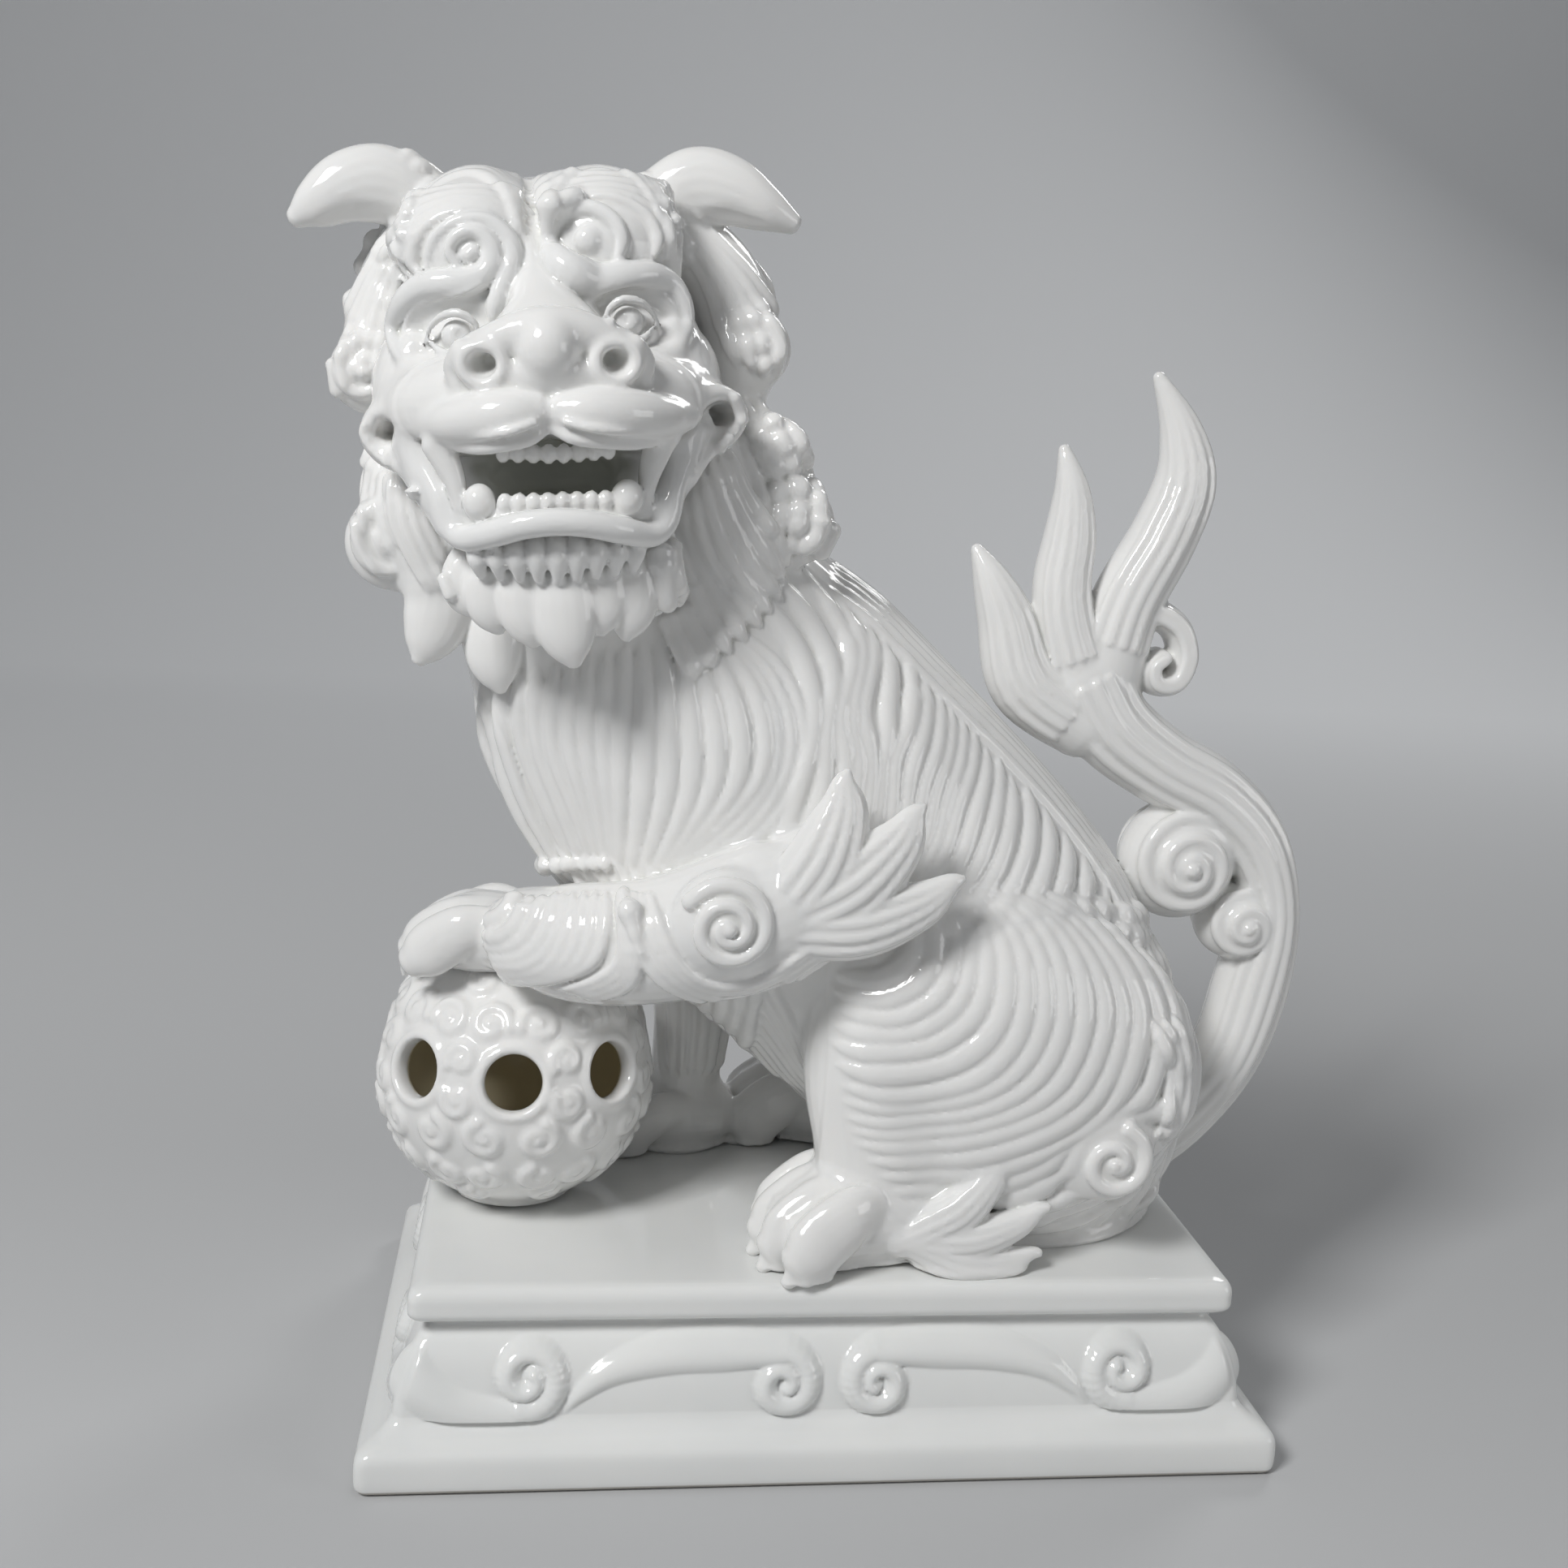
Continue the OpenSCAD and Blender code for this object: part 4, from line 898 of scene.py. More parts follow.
# The nose: a round tip between two flared nostrils
figure.add(head_egg([0.4, -36.8, 1.6], [4.9, 4.8, 5.4]), "head", 2)
lay_in_head([[[-11.6, -32.6, 1.6, 2.6, 3], [-7.6, -34.6, 3, 3, 3.2], [-3.4, -35.6, 4.4, 3.3, 3.4],
    [0.4, -36, 4.9, 3.4, 3.6], [4.4, -35.6, 4.6, 3.3, 3.4], [8.8, -34.6, 3.2, 3, 3.2],
    [12.8, -32.6, 1.8, 2.6, 3]],
    [[-9, -33.6, -2.4, 2.6, 3], [-4, -35, -2.4, 2.8, 3.2], [0.4, -35.6, -2.6, 3, 3.4],
    [5, -35, -2.4, 2.8, 3.2], [10, -33.6, -2.2, 2.6, 3]]], "head", 1.4, (0, 0, 1), 8, 20)
for s, x in ((-1, -9.9), (1, 11.1)):
    figure.add(head_egg([x, -34, -0.4], [4.7, 4.6, 4.0]), "head", 1.6)
    ring = [[x + 3.0 * math.cos(a), -37.0 + 0.5 * s * math.cos(a), -0.6 + 2.5 * math.sin(a), 0.9, 0.9]
            for a in np.linspace(0, 2 * math.pi, 17)]
    figure.add(roll(head_rows(ring), (0, 1, 0), 2, 12), "head", 1.6)
    lay = [[x + s * 0.5, -41, -0.8, 2.1, 1.9], [x, -37, -0.6, 2.1, 1.9],
        [x - s * 1.0, -34.4, 0.0, 1.3, 1.2]]
    figure.cut(head_roll(lay, (1, 0, 0), 6, 16), 2.0)
    wing = [[x + s * 3.2, -35.5, 2.2, 1.3, 1.3], [x + s * 4.9, -33.2, -0.6, 1.4, 1.4],
        [x + s * 4.2, -33, -3.2, 1.2, 1.2]]
    figure.add(head_roll(wing, (0, 0, 1), 6, 12), "head", 1.4)
# Pouches at the corners of the mouth, open to the front
for s, x, z in ((-1, -26.2, -10), (1, 28.2, -8.6)):
    figure.add(head_egg([x - s * 1.4, -15.5, z], [6.2, 6, 4.8]), "head", 2)
    rim = [[x - s * 8.4, -26, z - 0.6, 0.9, 0.9], [x - s * 5, -24, z + 1.6, 1.3, 1.3],
        [x - s * 1.4, -21.6, z + 2.9, 1.5, 1.5], [x + s * 2, -19.2, z + 2.5, 1.6, 1.5],
        [x + s * 3.8, -17.4, z - 0.6, 1.6, 1.5], [x + s * 1.8, -18, z - 4, 1.5, 1.5],
        [x - s * 2, -20.4, z - 6.4, 1.4, 1.4], [x - s * 5.4, -24, z - 10.4, 1.3, 1.2]]
    figure.add(head_roll(rim, (0, 1, 0), 8, 14), "head", 1.8)
    dimple = [[x + s * 1.2, -23.5, z - 0.2, 2.0, 1.6], [x + s * 0.8, -19, z - 0.3, 2.4, 1.9],
        [x - s * 0.4, -14.5, z - 0.4, 1.4, 1.2]]
    figure.cut(head_roll(dimple, (1, 0, 0), 6, 14), 2.0)
    trough = [[x, -20.6, z - 0.8, 1.5, 1.6], [x - s * 4, -23.6, z - 1.6, 1.5, 1.5],
        [x - s * 7.4, -27, z - 3, 1.4, 1.2]]
    figure.cut(head_roll(trough, (0, 0, 1), 6, 14), 2.2)

# The lower jaw, with a thick drooping lip and a comb of tufts below it
lay_in_head([[[0, -4, -27, 20, 5], [0, -12, -28.4, 18.5, 6.2], [0, -22, -29, 15.5, 5.6],
    [0, -28, -29.4, 12.6, 4.8]]], "lower_jaw", 2, (1, 0, 0), 8, 30)
carve_in_head([[[0.4, -34, -19.6, 12.5, 2.6], [0.2, -26, -19.8, 12, 3], [0, -20, -19.4, 9, 2.6]]], 1.5,
    (1, 0, 0), 8, 24)
figure.add(head_egg([0, -21, -23.4], [7.4, 9.5, 2.6]), "lower_jaw", 1.2)
lay_in_head([tubes([[-24.6, -19, -10.6], [-21.6, -23.4, -14.6], [-18.6, -27.4, -20.4],
    [-17, -28.2, -25.6], [-14.6, -30.4, -27.6], [-10, -34, -26.8], [-5, -36, -25.6],
    [0.2, -36.6, -25.2], [5.4, -36, -25.7], [10.6, -34, -27], [15.4, -30.4, -28.1], [18.4, -28.2, -26],
    [20.2, -27.2, -20.2], [23, -23.4, -14], [26.4, -19, -9.8]],
    [0.9, 1.1, 1.4, 1.9, 2.1, 2.3, 2.3, 2.3, 2.3, 2.3, 2.1, 1.9, 1.4, 1.1, 0.9])], "lower_jaw", 1.6,
    (0, 1, 0), 6, 18)
lay_in_head([tubes([[-16, -28, -24.4], [-9, -31.4, -24.2], [0, -32.4, -23.2], [9, -31.4, -24.2],
    [16.4, -28, -24.4]], [1.6, 1.7, 1.7, 1.7, 1.6])], "lower_jaw", 1.0)
comb_rows = []
for k in range(9):
    x = -13.2 + 3.3 * k
    y = -33.6 + abs(x) ** 2 * 0.017
    comb_rows.append([[x, y + 1.6, -28.2 - abs(x) * 0.06, 1.5, 1.5], [x * 0.98, y + 0.2, -31, 1.65, 1.5],
                      [x * 0.94, y + 1.6, -35 + abs(x) * 0.1, 0.9, 0.9]])
lay_in_head(comb_rows, "lower_jaw", 0.25, (1, 0, 0), 5, 14)
# Fleshy cheeks that run from the upper lip to the lower and close the mouth at its sides
for s in (-1, 1):
    cheek_wall = [[s * 22.4, -20.6, -11.6, 4.2, 3.4], [s * 20.6, -22.6, -16, 4.0, 3.6],
        [s * 18.8, -24, -20.6, 3.6, 3.6], [s * 16.6, -26, -25, 3.0, 3.2]]
    figure.add(head_roll(cheek_wall, (0, 1, 0), 8, 20), "lower_jaw", 2.4)
lay_in_head(pair([[18.4, -29.6, -12.4, 2.4, 2.2], [16.8, -29.6, -15.4, 2.3, 2.1],
    [15.6, -29.6, -18.8, 1.8, 1.8], [15.0, -29.8, -22.6, 1.0, 1.2]]), "head", 1.4, (1, 0, 0), 8, 18)

# Teeth
for k in range(8):
    x = -7.6 + 2.4 * k
    figure.add(head_egg([x, -33.8 + abs(x) * 0.16, -14.6 + abs(x - 1) * 0.05], [1.25, 1.3, 1.7]),
        "teeth", 0.3)
for k in range(8):
    x = -7.8 + 2.3 * k
    figure.add(head_egg([x, -33.9 + abs(x) * 0.14, -22.1], [1.3, 1.35, 1.7]), "teeth", 0.3)
for s in (-1, 1):
    figure.add(head_egg([s * 11.9, -31.6, -21.9], [2.7, 2.7, 3.1]), "teeth", 0.4)

# Brows: a fleshy roll winds out of a spiral, swells under it and curls round the eye's outer corner;
# a second one folds over the spiral and runs down to the inner corner
left_brow = [[-13.4, 16.3, 0.8, 0.9], [-14.5, 17.9, 0.9, 1.0], [-13.7, 19.8, 1.0, 1.1],
    [-11.7, 21, 1.1, 1.2], [-9.4, 20.6, 1.3, 1.3], [-7.9, 18.7, 1.6, 1.5], [-8, 16.3, 1.9, 1.8],
    [-9.8, 14.2, 2.2, 2.1], [-12.6, 13.1, 2.4, 2.3], [-15.6, 12.9, 2.5, 2.4], [-18.6, 12.6, 2.4, 2.3],
    [-21.4, 11.2, 2.1, 2.1], [-23.5, 9.0, 1.8, 1.8], [-24.8, 6.3, 1.4, 1.4], [-24.7, 3.6, 1.0, 1.0],
    [-23.4, 1.2, 0.6, 0.6]]
left_fold = [[-18.6, 15.4, 0.5, 0.4], [-18, 17.8, 0.6, 0.6], [-16.9, 20.2, 0.8, 0.8],
    [-14.5, 22, 0.9, 1.0], [-11.4, 23, 1.1, 1.2], [-8.2, 22.6, 1.4, 1.5], [-5.6, 20.4, 1.7, 1.9],
    [-4.6, 17.4, 1.9, 2.2], [-5.4, 14.2, 2.0, 2.3], [-6.8, 11.2, 1.8, 2.1], [-8.2, 8.4, 1.4, 1.6],
    [-9.3, 5.6, 0.8, 0.9]]
left_lip = [[-9.8, 12.8, 0.3, 0.4], [-12.6, 11.5, 0.45, 0.6], [-15.4, 10.8, 0.5, 0.7],
    [-18, 10.5, 0.5, 0.7], [-20.6, 9.4, 0.5, 0.7], [-22.3, 7.6, 0.45, 0.6], [-23.2, 5.4, 0.3, 0.4]]
right_brow = [[2.0, 19.0, 1.2, 1.4], [2.1, 16.9, 2.3, 2.5], [4.9, 13.9, 3.2, 3.0], [9, 12.6, 3.2, 3.0],
    [13.6, 13.4, 2.7, 2.6], [17.6, 13.8, 2.3, 2.3], [20.9, 12.4, 1.9, 2.0], [23, 9.4, 1.5, 1.6],
    [23.6, 6.2, 1.1, 1.1], [22.4, 3.2, 0.6, 0.6]]
right_fold = [[1.4, 18.0, 1.4, 1.6], [2.2, 21.6, 1.5, 1.6], [5, 24, 1.5, 1.5], [8.6, 24.4, 1.4, 1.4],
    [11.9, 22.6, 1.3, 1.2], [13.3, 19.6, 1.1, 1.1], [12.6, 16.6, 0.8, 0.8]]
right_inner = [[3.2, 14.6, 1.8, 2.2], [5.6, 11.2, 1.8, 2.1], [8.1, 8, 1.4, 1.6], [10.4, 5.4, 0.8, 0.9]]
lay_on_face([left_fold, right_inner], "brows", 0.4, -0.05)
lay_on_face([left_brow, right_brow, right_fold], "brows", 0.3, -0.25)
lay_on_face([left_lip], "brows", 0.4, 0.1, 2)
for u, w, wide in ((-11.2, 17.6, 1.7), (7.9, 19.4, 2.4)):
    bulb, way = from_brow(np.array([[u, w]]))
    bulb = figure.settle(bulb, way)[0]
    figure.add(egg(bulb + [0, 0.6, 0], [wide, 1.9, wide]), "brows", 0.4)
    for du, dw in (((-0.9, 0.9), (0.9, -1.0)) if u < 0 else ((-2.3, 1.7),)):
        figure.cut(egg(bulb + [du, -1.8, dw], [0.75, 1.3, 0.85]), 0.9)

# Eyes: a small ball deep under the brow, with folds of skin beside and below it
for s, x, z in ((-1, -14.1, 4.9), (1, 13.5, 6.5)):
    socket = np.array([[x - s * 4.2, 1.0 + z, 1.2], [x - s * 2.6, 3.0 + z, 1.6],
        [x + s * 1.4, 3.5 + z, 1.7], [x + s * 5, 2.6 + z, 1.6], [x + s * 7.2, 0.2 + z, 1.6],
        [x + s * 7.2, -1.6 + z, 1.0]])
    p = smooth_path(socket, 4)
    start, way = from_brow(p[:, :2])
    at = figure.settle(start, way)
    for _ in range(6):
        at[1:-1, 1] = (at[:-2, 1] + at[1:-1, 1] * 2 + at[2:, 1]) / 4
    groove = np.column_stack([at + [0, -0.2, 0], p[:, 2] * 1.1, p[:, 2]])
    figure.cut(swept(groove, (0, 1, 0), 16, 0.8, 3), 1.5, "head")
    figure.add(egg(at[-1] + [0, 1.6, 0], [2.2, 2.2, 2.2]), "head", 1.5)
    figure.cut(head_egg([x, -26.6, z], [3.2, 3.2, 3.0]), 1.4, "head")
    figure.add(head_egg([x, -23.2, z - 0.2], [2.7, 3.1, 2.7]), "eyes", 0.4)
    figure.cut(head_egg([x - s * 0.5, -26.7, z - 0.1], [0.9, 1.2, 0.9]), 0.7)
    lid = [[x - s * 3.6, -25.6, z - 0.6], [x - s * 3.0, -26.2, z + 1.6], [x - s * 0.8, -26.6, z + 3.1],
        [x + s * 2.0, -25.6, z + 2.9], [x + s * 4.2, -24, z + 1.2], [x + s * 5.2, -22.8, z - 1]]
    lower_lid = [[x - s * 3.0, -25.6, z - 2.2], [x - s * 0.6, -26.2, z - 3.4],
        [x + s * 2.4, -25.2, z - 2.8], [x + s * 4.2, -23.6, z - 1.2]]
    lay_in_head([tubes(lid, [0.3, 0.6, 0.75, 0.7, 0.5, 0.3])], "eyes", 1.3, (0, 1, 0))
    lay_in_head([tubes(lower_lid, [0.4, 0.6, 0.6, 0.4])], "eyes", 0.9, (0, 1, 0))
    fold = [[x - s * 2, -27, z - 6], [x + s * 2.6, -25.4, z - 6.6], [x + s * 7.4, -22, z - 5],
        [x + s * 10, -19.4, z - 1.6]]
    lay_in_head([tubes(fold, [0.6, 1.1, 1.1, 0.6])], "head", 1.8, (0, 1, 0))

# Ears: folded leaves with a trough underneath
for s, side_name in SIDES:
    shift, lift = (0, 0) if s < 0 else (1.6, -1.6)
    ear_rows = [[s * 15 + shift, 2, 25.5, 4.6, 5], [s * 20 + shift, 0.6, 28.6, 4.8, 5.8],
        [s * 26 + shift, -1, 31.6 + lift * 0.5, 4.6, 6.6], [s * 32 + shift, -2, 31.2 + lift, 4.2, 6.0],
        [s * 37.6 + shift, -2.4, 28.4 + lift, 3.4, 4.2],
        [s * 41 + shift * 2, -2, 26.4 + lift * 1.4, 2.0, 2.0]]
    figure.add(head_roll(ear_rows, (0, 1, 0), 8, 30), side_name + "_ear", 1.6)
    figure.cut(head_roll([[s * 24 + shift, -6.5, 24 + lift, 2.4, 1.6],
        [s * 30 + shift, -7, 25.6 + lift, 3, 2.6], [s * 36 + shift, -6.4, 24.2 + lift, 2.2, 1.8]],
        (0, 1, 0), 6, 16), 1.5)

# Mane: swept rolls beside the face that end in curls
for s, side_name in SIDES:
    out, low = (0, 0) if s < 0 else (6.5, 1.5)
    mane = side_name + "_mane"
    rolls = [[[19 + out / 2, 5, 25, 7, 6.5], [25 + out, 4, 16, 7.6, 7], [28.2 + out, 3, 4, 7.6, 7.6],
        [26 + out, 3, -5, 7, 6.4]],
        [[23.5 + out, 3.2, -6.5, 7, 6.4], [26 + out * 1.9, 2, -17 - low, 7.6, 7.6],
        [25.6 + out * 2, 1, -28, 7.6, 8], [20 + out * 1.8, 4, -40 + low, 7, 6]]]
    for rows in rolls:
        rows = [[s * r[0], *r[1:]] for r in rows]
        figure.add(head_roll(rows, (0, 1, 0), 8, 30), mane, 1.2)


def lock(node, root, tip, width, sway, thick, ridges, blend=0.6):
    """A pointed lock of hair in the head's frame, with ridges that run to its tip."""
    root, tip = np.array(root, float), np.array(tip, float)
    along = tip - root
    side = unit(np.cross(along, [0, 1, 0]))
    rows = []
    for t, w in ((0, 0.8), (0.3, 1), (0.6, 0.94), (0.84, 0.66), (1, 0.24)):
        at = root + along * t + side * sway * math.sin(math.pi * t)
        rows.append([*at, w * width * thick, w * width])
    figure.add(head_roll(rows, tuple(np.cross(side, along)), 6, 18), node, blend)
    flutes(head_rows(rows), leaning(np.cross(side, along)), node, ridges, 0.8, faces=(1,),
        ends=(0.04, 0.95))


# Beard: a skirt of broad pointed locks that overlap
figure.add(head_egg([0.6, -20.4, -36.6], [15, 7, 8]), "beard", 2)
lay_in_head([[[-15, -21.4, -32, 3.4, 3.6], [-8, -25.6, -33, 3.8, 4], [0.4, -27, -33.6, 4, 4.2],
    [9, -25.6, -33, 3.8, 4], [16, -21.4, -32, 3.4, 3.6]]], "beard", 1.5, (0, 0, 1), 8, 18)
beard_locks = (((-14.6, -23, -31), (-14.6, -24.4, -40.6), 3.4, -0.8),
    ((14.8, -23.6, -31), (14.8, -23.6, -42), 3.8, 1.0),
    ((-10.4, -25.4, -32), (-10.2, -26.4, -43.4), 3.9, -0.9),
    ((10.6, -25.8, -32), (10.6, -26.2, -45.4), 4.2, 1.0),
    ((-5.2, -27.4, -32.6), (-4.4, -28.4, -45.6), 4.2, -0.7),
    ((5.6, -27.4, -32.6), (6.4, -28, -44.2), 3.9, 0.8), ((0.4, -28.4, -33), (2, -29.8, -49), 4.7, -0.6))
for root, tip, width, sway in beard_locks:
    lock("beard", root, tip, width * 1.22, sway, 0.6, 4)
lock("beard", (17.4, -21, -28), (20.4, -20.6, -40.6), 3.3, -1.4, 0.8, 2)
# Hanging locks of the left mane
lock("left_mane", (-20, -6, -33), (-25.4, -9, -49.6), 6.2, 1.2, 0.7, 4)
lock("left_mane", (-11, -6, -40), (-11.4, -8, -55.6), 5.6, -1.0, 0.7, 4)

# Hair that sweeps back from each side of the jaw
lay_in_head([[[23, -7, -12, 6, 8], [27, -6, -22, 8, 9], [31, -4, -32, 9, 9], [34, -2, -41, 8, 6]]],
    "right_mane", 3, (0, 1, 0), 8, 28)
lay_in_head([[[-21, -6, -14, 5, 6], [-23, -7, -24, 6, 7], [-22, -6, -34, 6, 6]]], "left_mane", 3,
    (0, 1, 0), 8, 24)

# Curls at the ends of the mane's rolls
mane_curls = (("left_mane", -31.4, -1, 0.2, 6.6, 1.9, 60, 1),
    ("left_mane", -28.8, -3.4, -29, 8.4, 2.0, 60, 1), ("right_mane", 37, -1.6, 2.6, 6.4, 1.6, 120, -1),
    ("right_mane", 39.8, -3.6, -15, 6.0, 1.9, 120, -1),
    ("right_mane", 42.4, -3.8, -28.2, 7.8, 2.0, 120, -1))
for node, x, y, z, radius, turns, start, hand in mane_curls:
    volute(node, (x, y - 0.6, z), radius, 4.4, turns * 0.75, start, hand, place=head_rows, stock=0.2,
        blend=3)


# ---- The tail ----

# half the tail's thickness
w = 8.0
stem = raised([[66, 0, 8, w, w], [78, 0, 17, w, w - 0.5], [88, 0, 30, w, w - 1],
    [92.5, 0, 46, w, w - 0.5], [94.2, 0, 62, w, w - 2], [89.4, 0, 76, w, w - 1],
    [79.6, 0, 85.6, w, w - 0.4], [67.6, 0, 91.6, w, w], [57, 0, 99, w, w + 0.6],
    [51, 0, 108, w - 0.5, w + 1]])
flames = [raised(rows)
    for rows in ([[51, 0, 99, w - 1, 7], [38.4, 0, 107, w - 1.5, 7.2], [33.4, 0, 120, w - 2.5, 5.6],
    [29.8, 0, 127.5, w - 4, 3.6], [26.6, 0, 133, 1.2, 1.2]],
    [[51, 0, 106, w - 1, 7.6], [46, 0, 118, w - 1.5, 6.2], [44.4, 0, 127, w - 2, 5.8],
    [45.2, 0, 136, w - 3, 5.3], [44.8, 0, 145, w - 4.4, 3.6], [42.6, 0, 153, 1.2, 1.2]],
    [[54, 0, 106, w - 1, 8], [57.6, 0, 123, w - 1, 7.2], [64.2, 0, 137, w - 1.5, 6.8],
    [67.6, 0, 148, w - 2.6, 6.2], [65.6, 0, 158, w - 4.4, 4.2], [60.2, 0, 167.8, 1.2, 1.2]])]
figure.add(roll(stem, around=36), "tail", 1.2)
for rows in flames:
    figure.add(roll(rows, around=30), "tail", 1.2)
for rows in flames:
    flutes(rows, (0, 1, 0), "tail", 5, 0.9, ends=(0.12, 0.96), rise=0.45)
flutes(stem, (0, 1, 0), "tail", 5, 0.9, ends=(0.04, 0.99), rise=0.45)
# Curls: domed volutes on each face, and a small hook at the root of the longest flame
for face in (-1, 1):
    volute("tail_curls", (73.4, 0, 106.8), 11.8, w + 1.6, 2.3, 55, 1, face=face, stock=0.13)
    volute("tail_curls", (87, 0, 94.4), 7.8, w + 0.8, 2.0, 80, 1, face=face, stock=0.15)
hook = [[57, 0, 154, 5, 3.4], [62.4, 0, 157, 5.2, 3.2], [68, 0, 154.6, 5.4, 3],
    [70.4, 0, 149, 5.6, 2.9], [68.6, 0, 143.8, 5.8, 2.8], [64.6, 0, 143.2, 6, 2.5],
    [63.4, 0, 146.4, 6.2, 2.2], [65.8, 0, 148.6, 6.4, 1.8]]
figure.add(roll(hook, around=24), "tail_curls", 0.8)
flutes(hook, (0, 1, 0), "tail_curls", 2, 0.7, ends=(0.05, 0.95))


# ---- Hair of the head ----

def from_nape(g):
    """Guides drawn as [u, w] in the head's frame are laid on from behind."""
    return head_rows(np.column_stack([g[:, 0], np.full(len(g), 76.0), g[:, 1]])), (0, -1, 0)


def over_crown(g):
    """Guides drawn as [u, degrees] run over the crown, from the face to the nape."""
    a = np.radians(g[:, 1])
    rows = np.column_stack([g[:, 0], -2 - 45 * np.cos(a), 6 + 45 * np.sin(a)])
    way = np.column_stack([0 * a, np.cos(a), -np.sin(a)])
    return head_rows(rows), way


# Arcs over the brows, the crown, and the sweeps into the mane
for s in (-1, 1):
    x, z = (-11, 17.4) if s < 0 else (9.6, 19.4)
    arcs = []
    for wide, high, start, stop in ((9.4, 7, 20, 205), (16, 11, 48, 192)):
        arcs.append([(x - s * wide * math.cos(math.radians(a)), z + high * math.sin(math.radians(a)))
                     for a in np.linspace(start, stop, 9)])
    comb(arcs, [4], from_brow, sink=-0.12, narrowest=1.2, plump=0.48)
    x = 10.2 * s
    crown = [[(s * 2, 34), (s * 3.4, 52), (s * 7.4, 66), (x + s * 3, 68), (s * 18.6, 58),
        (s * 21.6, 42), (s * 22.6, 28)],
        [(s * 1.2, 62), (s * 3, 88), (s * 8, 104), (x + s * 4, 104), (s * 22, 84), (s * 27, 58),
        (s * 28.4, 34)]]
    comb(crown, [6], over_crown, samples=34, sink=0.12, thick=0.42, taper=0.08)
    nape = [[(s * 1.4, 96), (s * 2, 130), (s * 3, 168)], [(s * 12, 112), (s * 13, 140), (s * 13, 168)],
        [(s * 24, 100), (s * 25, 130), (s * 23, 165)]]
    comb(nape, [4, 4], over_crown, sink=0.2, taper=0.08)
left_sweep = [[(-20, 22), (-25, 15), (-28, 7), (-30, -2)],
    [(-24, 26), (-31, 16.5), (-36.6, 5), (-36.4, -4)]]
right_sweep = [[(22, 24), (28, 15), (31, 7), (33.6, -1)], [(26, 27), (37, 15), (43.6, 4), (42.6, -5)]]
left_low = [[(-25, -8), (-27.6, -16), (-28.4, -24), (-27, -30)],
    [(-30, -8), (-34, -18), (-34.6, -27), (-31, -35)]]
right_low = [[(31, -5), (34, -15), (36, -22), (36.6, -30)],
    [(42, -5), (49.6, -18), (50.6, -27), (46, -35.6)]]
for guides in (left_sweep, right_sweep, left_low, right_low):
    comb(guides, [4], from_brow, samples=34, sink=0.08, thick=0.42, narrowest=1.6)
cheek = [[(29.5, -12), (33, -22), (38, -30), (41, -35.6)], [(26.6, -14), (29, -24), (33.6, -34), (39, -41)],
    [(24, -18), (25, -28), (28.6, -37), (35, -46)], [(20.6, -24), (21.6, -32), (24, -41), (29, -50)],
    [(17, -30), (17.6, -38), (19.6, -46), (23, -54)]]
comb(cheek, [2, 2, 2, 2], from_brow, samples=40, sink=-0.1, plump=0.58, narrowest=2, widest=5)
left_cheek = [[(-27.4, -16), (-27.6, -24), (-25.4, -31), (-22, -38)],
    [(-22.6, -19), (-22, -25), (-20, -31), (-17.6, -38)]]
comb(left_cheek, [3], from_brow, samples=34, sink=0.02, narrowest=1.6)
for s, out in ((-1, 0), (1, 6.5)):
    behind = [[(s * 19, 24), (s * (25 + out), 14), (s * (24.6 + out), 0)],
        [(s * (26 + out * 0.6), 27), (s * (33.4 + out), 14), (s * (33.6 + out), 0)]]
    below = [[(s * (25 + out), -8), (s * (26 + out * 1.6), -22), (s * (21 + out * 1.6), -38)],
             [(s * (30 + out), -8), (s * (33.6 + out * 1.8), -22), (s * (28 + out * 1.8), -38)]]
    comb(behind, [5], from_nape, sink=0.0)
    comb(below, [5], from_nape, sink=0.0)
nape_low = [[(-25, 13), (-27, -16), (-27, -36), (-24, -50)], [(0, 12), (2, -20), (5, -38), (9, -52)],
    [(26, 13), (29, -14), (33, -30), (38, -44)]]
comb(nape_low, [9, 9], from_nape, samples=44, plump=0.56, thick=0.44)

# Ears: fine grooves that run to the tip
for s, out, drop in ((-1, 0, 0), (1, 1.6, -1.6)):
    ear_lines = [[(s * 19 + out, 33.4), (s * 27 + out, 37.4 + drop), (s * 35 + out, 33.6 + drop),
        (s * 40.6 + out, 27.4 + drop)],
        [(s * 20 + out, 27), (s * 28 + out, 28.6 + drop), (s * 35 + out, 27 + drop),
        (s * 40 + out, 25.4 + drop)]]
    comb(ear_lines, [4], from_brow, sink=0.3, thick=0.34)


def seat_on_slab(clay):
    """Glaze gathers in the corner where the clay meets the slab, and nothing goes below the slab's top."""
    z = ((clay.origin[2] + np.arange(clay.shape[2])) * clay.pitch).astype(np.float32)
    low = z < SLAB + 5
    near = clay.field[:, :, low]
    soft = np.maximum(4 - np.abs(near - (z[low] - SLAB + 0.1)), 0)
    clay.field[:, :, low] = near - soft * soft / 16
    clay.field = np.maximum(clay.field, (SLAB - 0.6 - z).astype(np.float32))


seat_on_slab(figure)


# ---- The ball: hollow and pierced, with scrolls in low relief ----

BALL = np.array([-59.5, 0.5, 61.2])
BALL_R = 27.0
BALL_WALL = 3.6
HOLES = 8
HOLE_STEP = 360 / HOLES
HOLE_R = 5.3
HOLE_RING = np.degrees(6.4 / BALL_R)
HOLE_LAT = 12.0
ball = Clay((-90, -30, 33), (-29, 31, 92), 0.5)
ball.add(egg(BALL, [BALL_R] * 3, rings=61, around=110), "ball")


